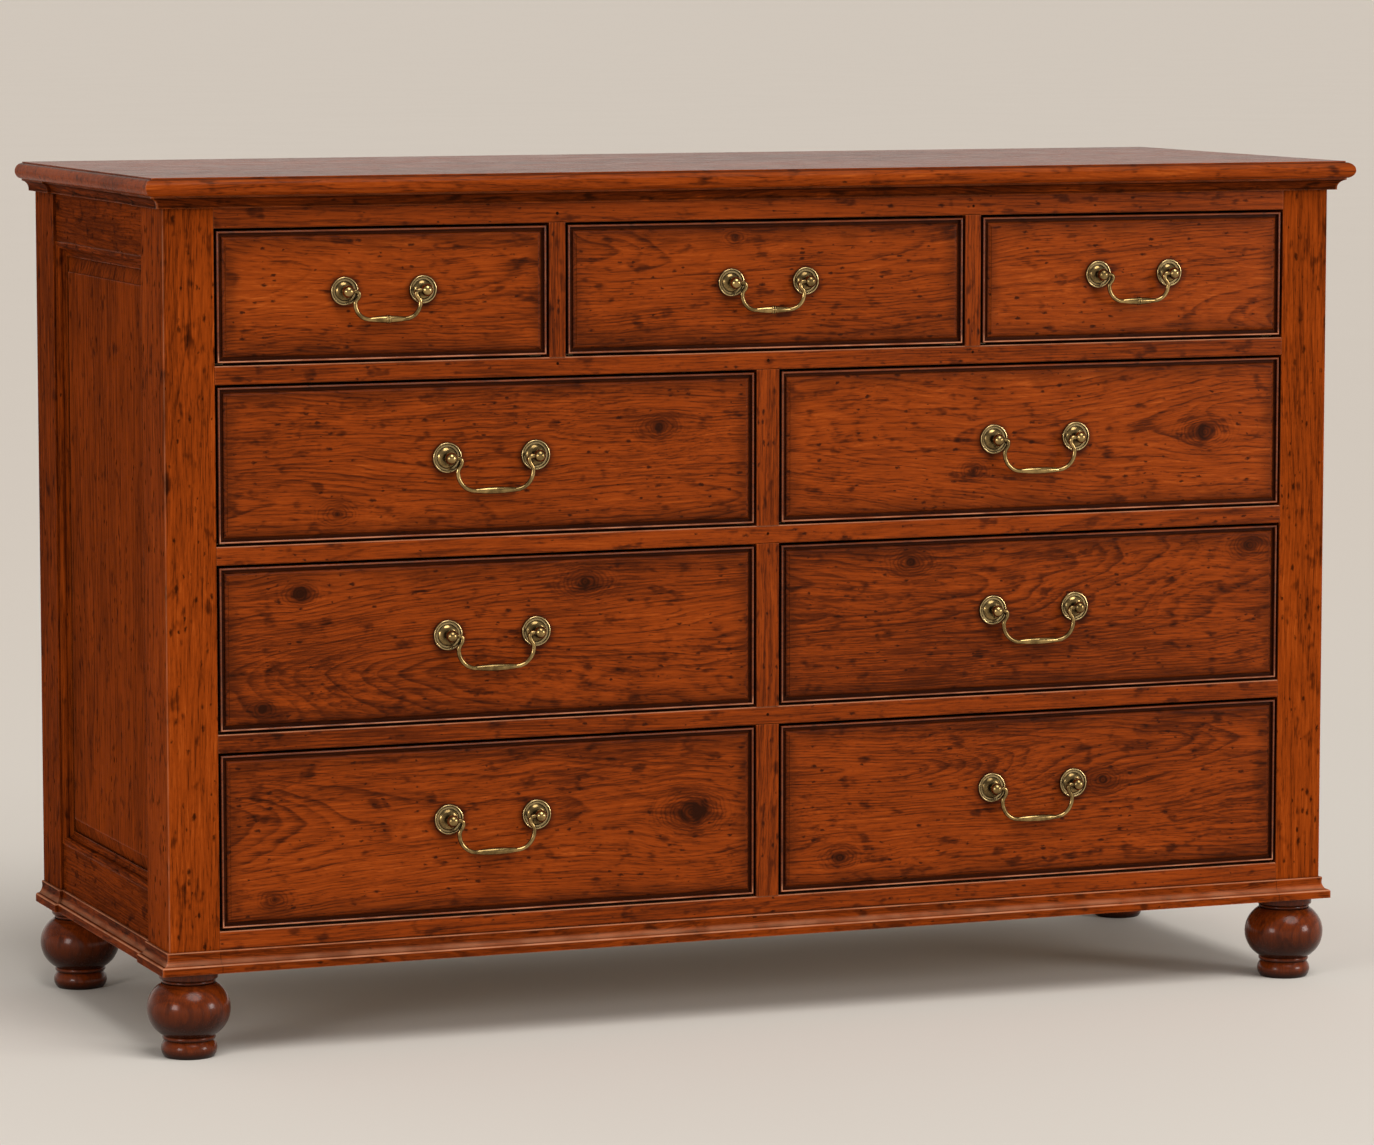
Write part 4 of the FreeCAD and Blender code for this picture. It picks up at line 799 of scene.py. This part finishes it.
def drive_pegs():
    """Peg heads where the rails meet the dividers and stiles, one plain mesh that moves with the carcase."""
    places = [(side * DIVIDER, FACE, z) for side in (-1, 1) for z in DIVIDER_PEGS]
    places += [(0.0, FACE, z) for z in STILE_PEGS]
    points = bpy.data.meshes.new("peg_places")
    points.from_pydata(places, [], [])
    carrier = bpy.data.objects.new("peg_places", points)
    bpy.context.scene.collection.objects.link(carrier)
    tree = make_peg_tree()
    modifier = carrier.modifiers.new("Heads", "NODES")
    modifier.node_group = tree
    values = {"Head radius": 0.0019, "Head rise": 0.00035, "Seed": 7, "Finish": peg_material()}
    for socket in tree.interface.items_tree:
        if socket.in_out == "INPUT" and socket.name in values:
            modifier[socket.identifier] = values[socket.name]
    bpy.context.view_layer.update()
    evaluated = carrier.evaluated_get(bpy.context.evaluated_depsgraph_get())
    mesh = bpy.data.meshes.new_from_object(evaluated)
    bpy.data.objects.remove(carrier)
    mesh.name = "frame_pegs"
    pegs = bpy.data.objects.new("frame_pegs", mesh)
    bpy.context.scene.collection.objects.link(pegs)
    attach(pegs, "carcase")


def floor_material():
    """Pale studio floor, a little lighter in front of the dresser than far behind it: a painted falloff of the
    studio light.
    """
    material, bench, shader = new_material("studio_floor")
    place = bench.node("ShaderNodeTexCoord").outputs["Object"]
    cloud = bench.noise(place, detail=3.0, scale=1.2).outputs["Fac"]
    _, y, _ = bench.split(place)
    # Near and far floor colours: a painted falloff of the studio light.
    colour = bench.tint(bench.fade(y, -2.0, 5.0), FLOOR_NEAR, FLOOR_FAR)
    colour = bench.tint(bench.fade(cloud, 0.3, 0.7, 0, 0.06), colour, FLOOR_CLOUD)
    bench.feed(shader.inputs["Base Color"], colour)
    bench.feed(shader.inputs["Roughness"], bench.fade(cloud, 0.3, 0.7, 0.75, 0.90))
    shader.inputs["Specular IOR Level"].default_value = 0.1
    return material


def lay_floor():
    reach = 600.0
    mesh = bpy.data.meshes.new("studio_floor")
    corners = [(-reach, -reach, 0), (reach, -reach, 0), (reach, reach, 0), (-reach, reach, 0)]
    mesh.from_pydata(corners, [], [(0, 1, 2, 3)])
    mesh.materials.append(floor_material())
    floor = bpy.data.objects.new("studio_floor", mesh)
    bpy.context.scene.collection.objects.link(floor)


def hang_light(name, kind, place, target, energy, **settings):
    light = bpy.data.lights.new(name, kind)
    light.energy = energy
    light.color = (1.0, 0.98, 0.95)
    for label, value in settings.items():
        setattr(light, label, value)
    lamp = bpy.data.objects.new(name, light)
    bpy.context.scene.collection.objects.link(lamp)
    lamp.location = place
    direction = [b - a for a, b in zip(place, target)]
    flat = math.hypot(direction[0], direction[1])
    lamp.rotation_euler = (math.atan2(flat, -direction[2]), 0, math.atan2(-direction[0], direction[1]))


def light_room():
    """A pale room that darkens overhead, a broad soft key light and two low boxes in front."""
    world = bpy.data.worlds.new("studio")
    bpy.context.scene.world = world
    world.use_nodes = True
    world.node_tree.nodes.clear()
    bench = Bench(world.node_tree)
    _, _, height = bench.split(bench.node("ShaderNodeTexCoord").outputs["Generated"])
    walls, ceiling = (0.86, 0.80, 0.73), (0.38, 0.365, 0.345)
    room = bench.node("ShaderNodeBackground")
    bench.feed(room.inputs["Color"], bench.tint(bench.fade(height, 0.0, 0.45), walls, ceiling))
    bench.feed(bench.node("ShaderNodeOutputWorld").inputs["Surface"], room.outputs[0])
    knee_height = (0, 0, 0.3)
    hang_light("key", "SUN", (0.30, -2.0, 3.2), (0, 0, 0), 1.70, angle=math.radians(34))
    hang_light("left_box", "AREA", (-4.6, -2.9, 1.35), knee_height, 70.0, size=1.4)
    hang_light("right_box", "AREA", (3.8, -3.8, 1.40), knee_height, 95.0, size=1.4)


def place_camera():
    dip, turn = 6.237, -21.444
    lens = bpy.data.cameras.new("photograph")
    lens.sensor_width = 36.0
    lens.lens = 145.95
    lens.clip_end = 2000.0
    camera = bpy.data.objects.new("photograph", lens)
    camera.location = (-2.33744, -5.95253, 1.17712)
    camera.rotation_euler = (math.radians(90 - dip), 0, math.radians(turn))
    bpy.context.scene.collection.objects.link(camera)
    bpy.context.scene.camera = camera


finish_mouldings_and_top()
for side in SIDES:
    finish_side(side)
finish_front_frame()
finish_feet_and_inside()
for drawer in DRAWERS:
    finish_drawer(drawer)
finish_pulls()
drive_pegs()
lay_floor()
light_room()
place_camera()
bpy.context.scene.view_settings.view_transform = "Standard"
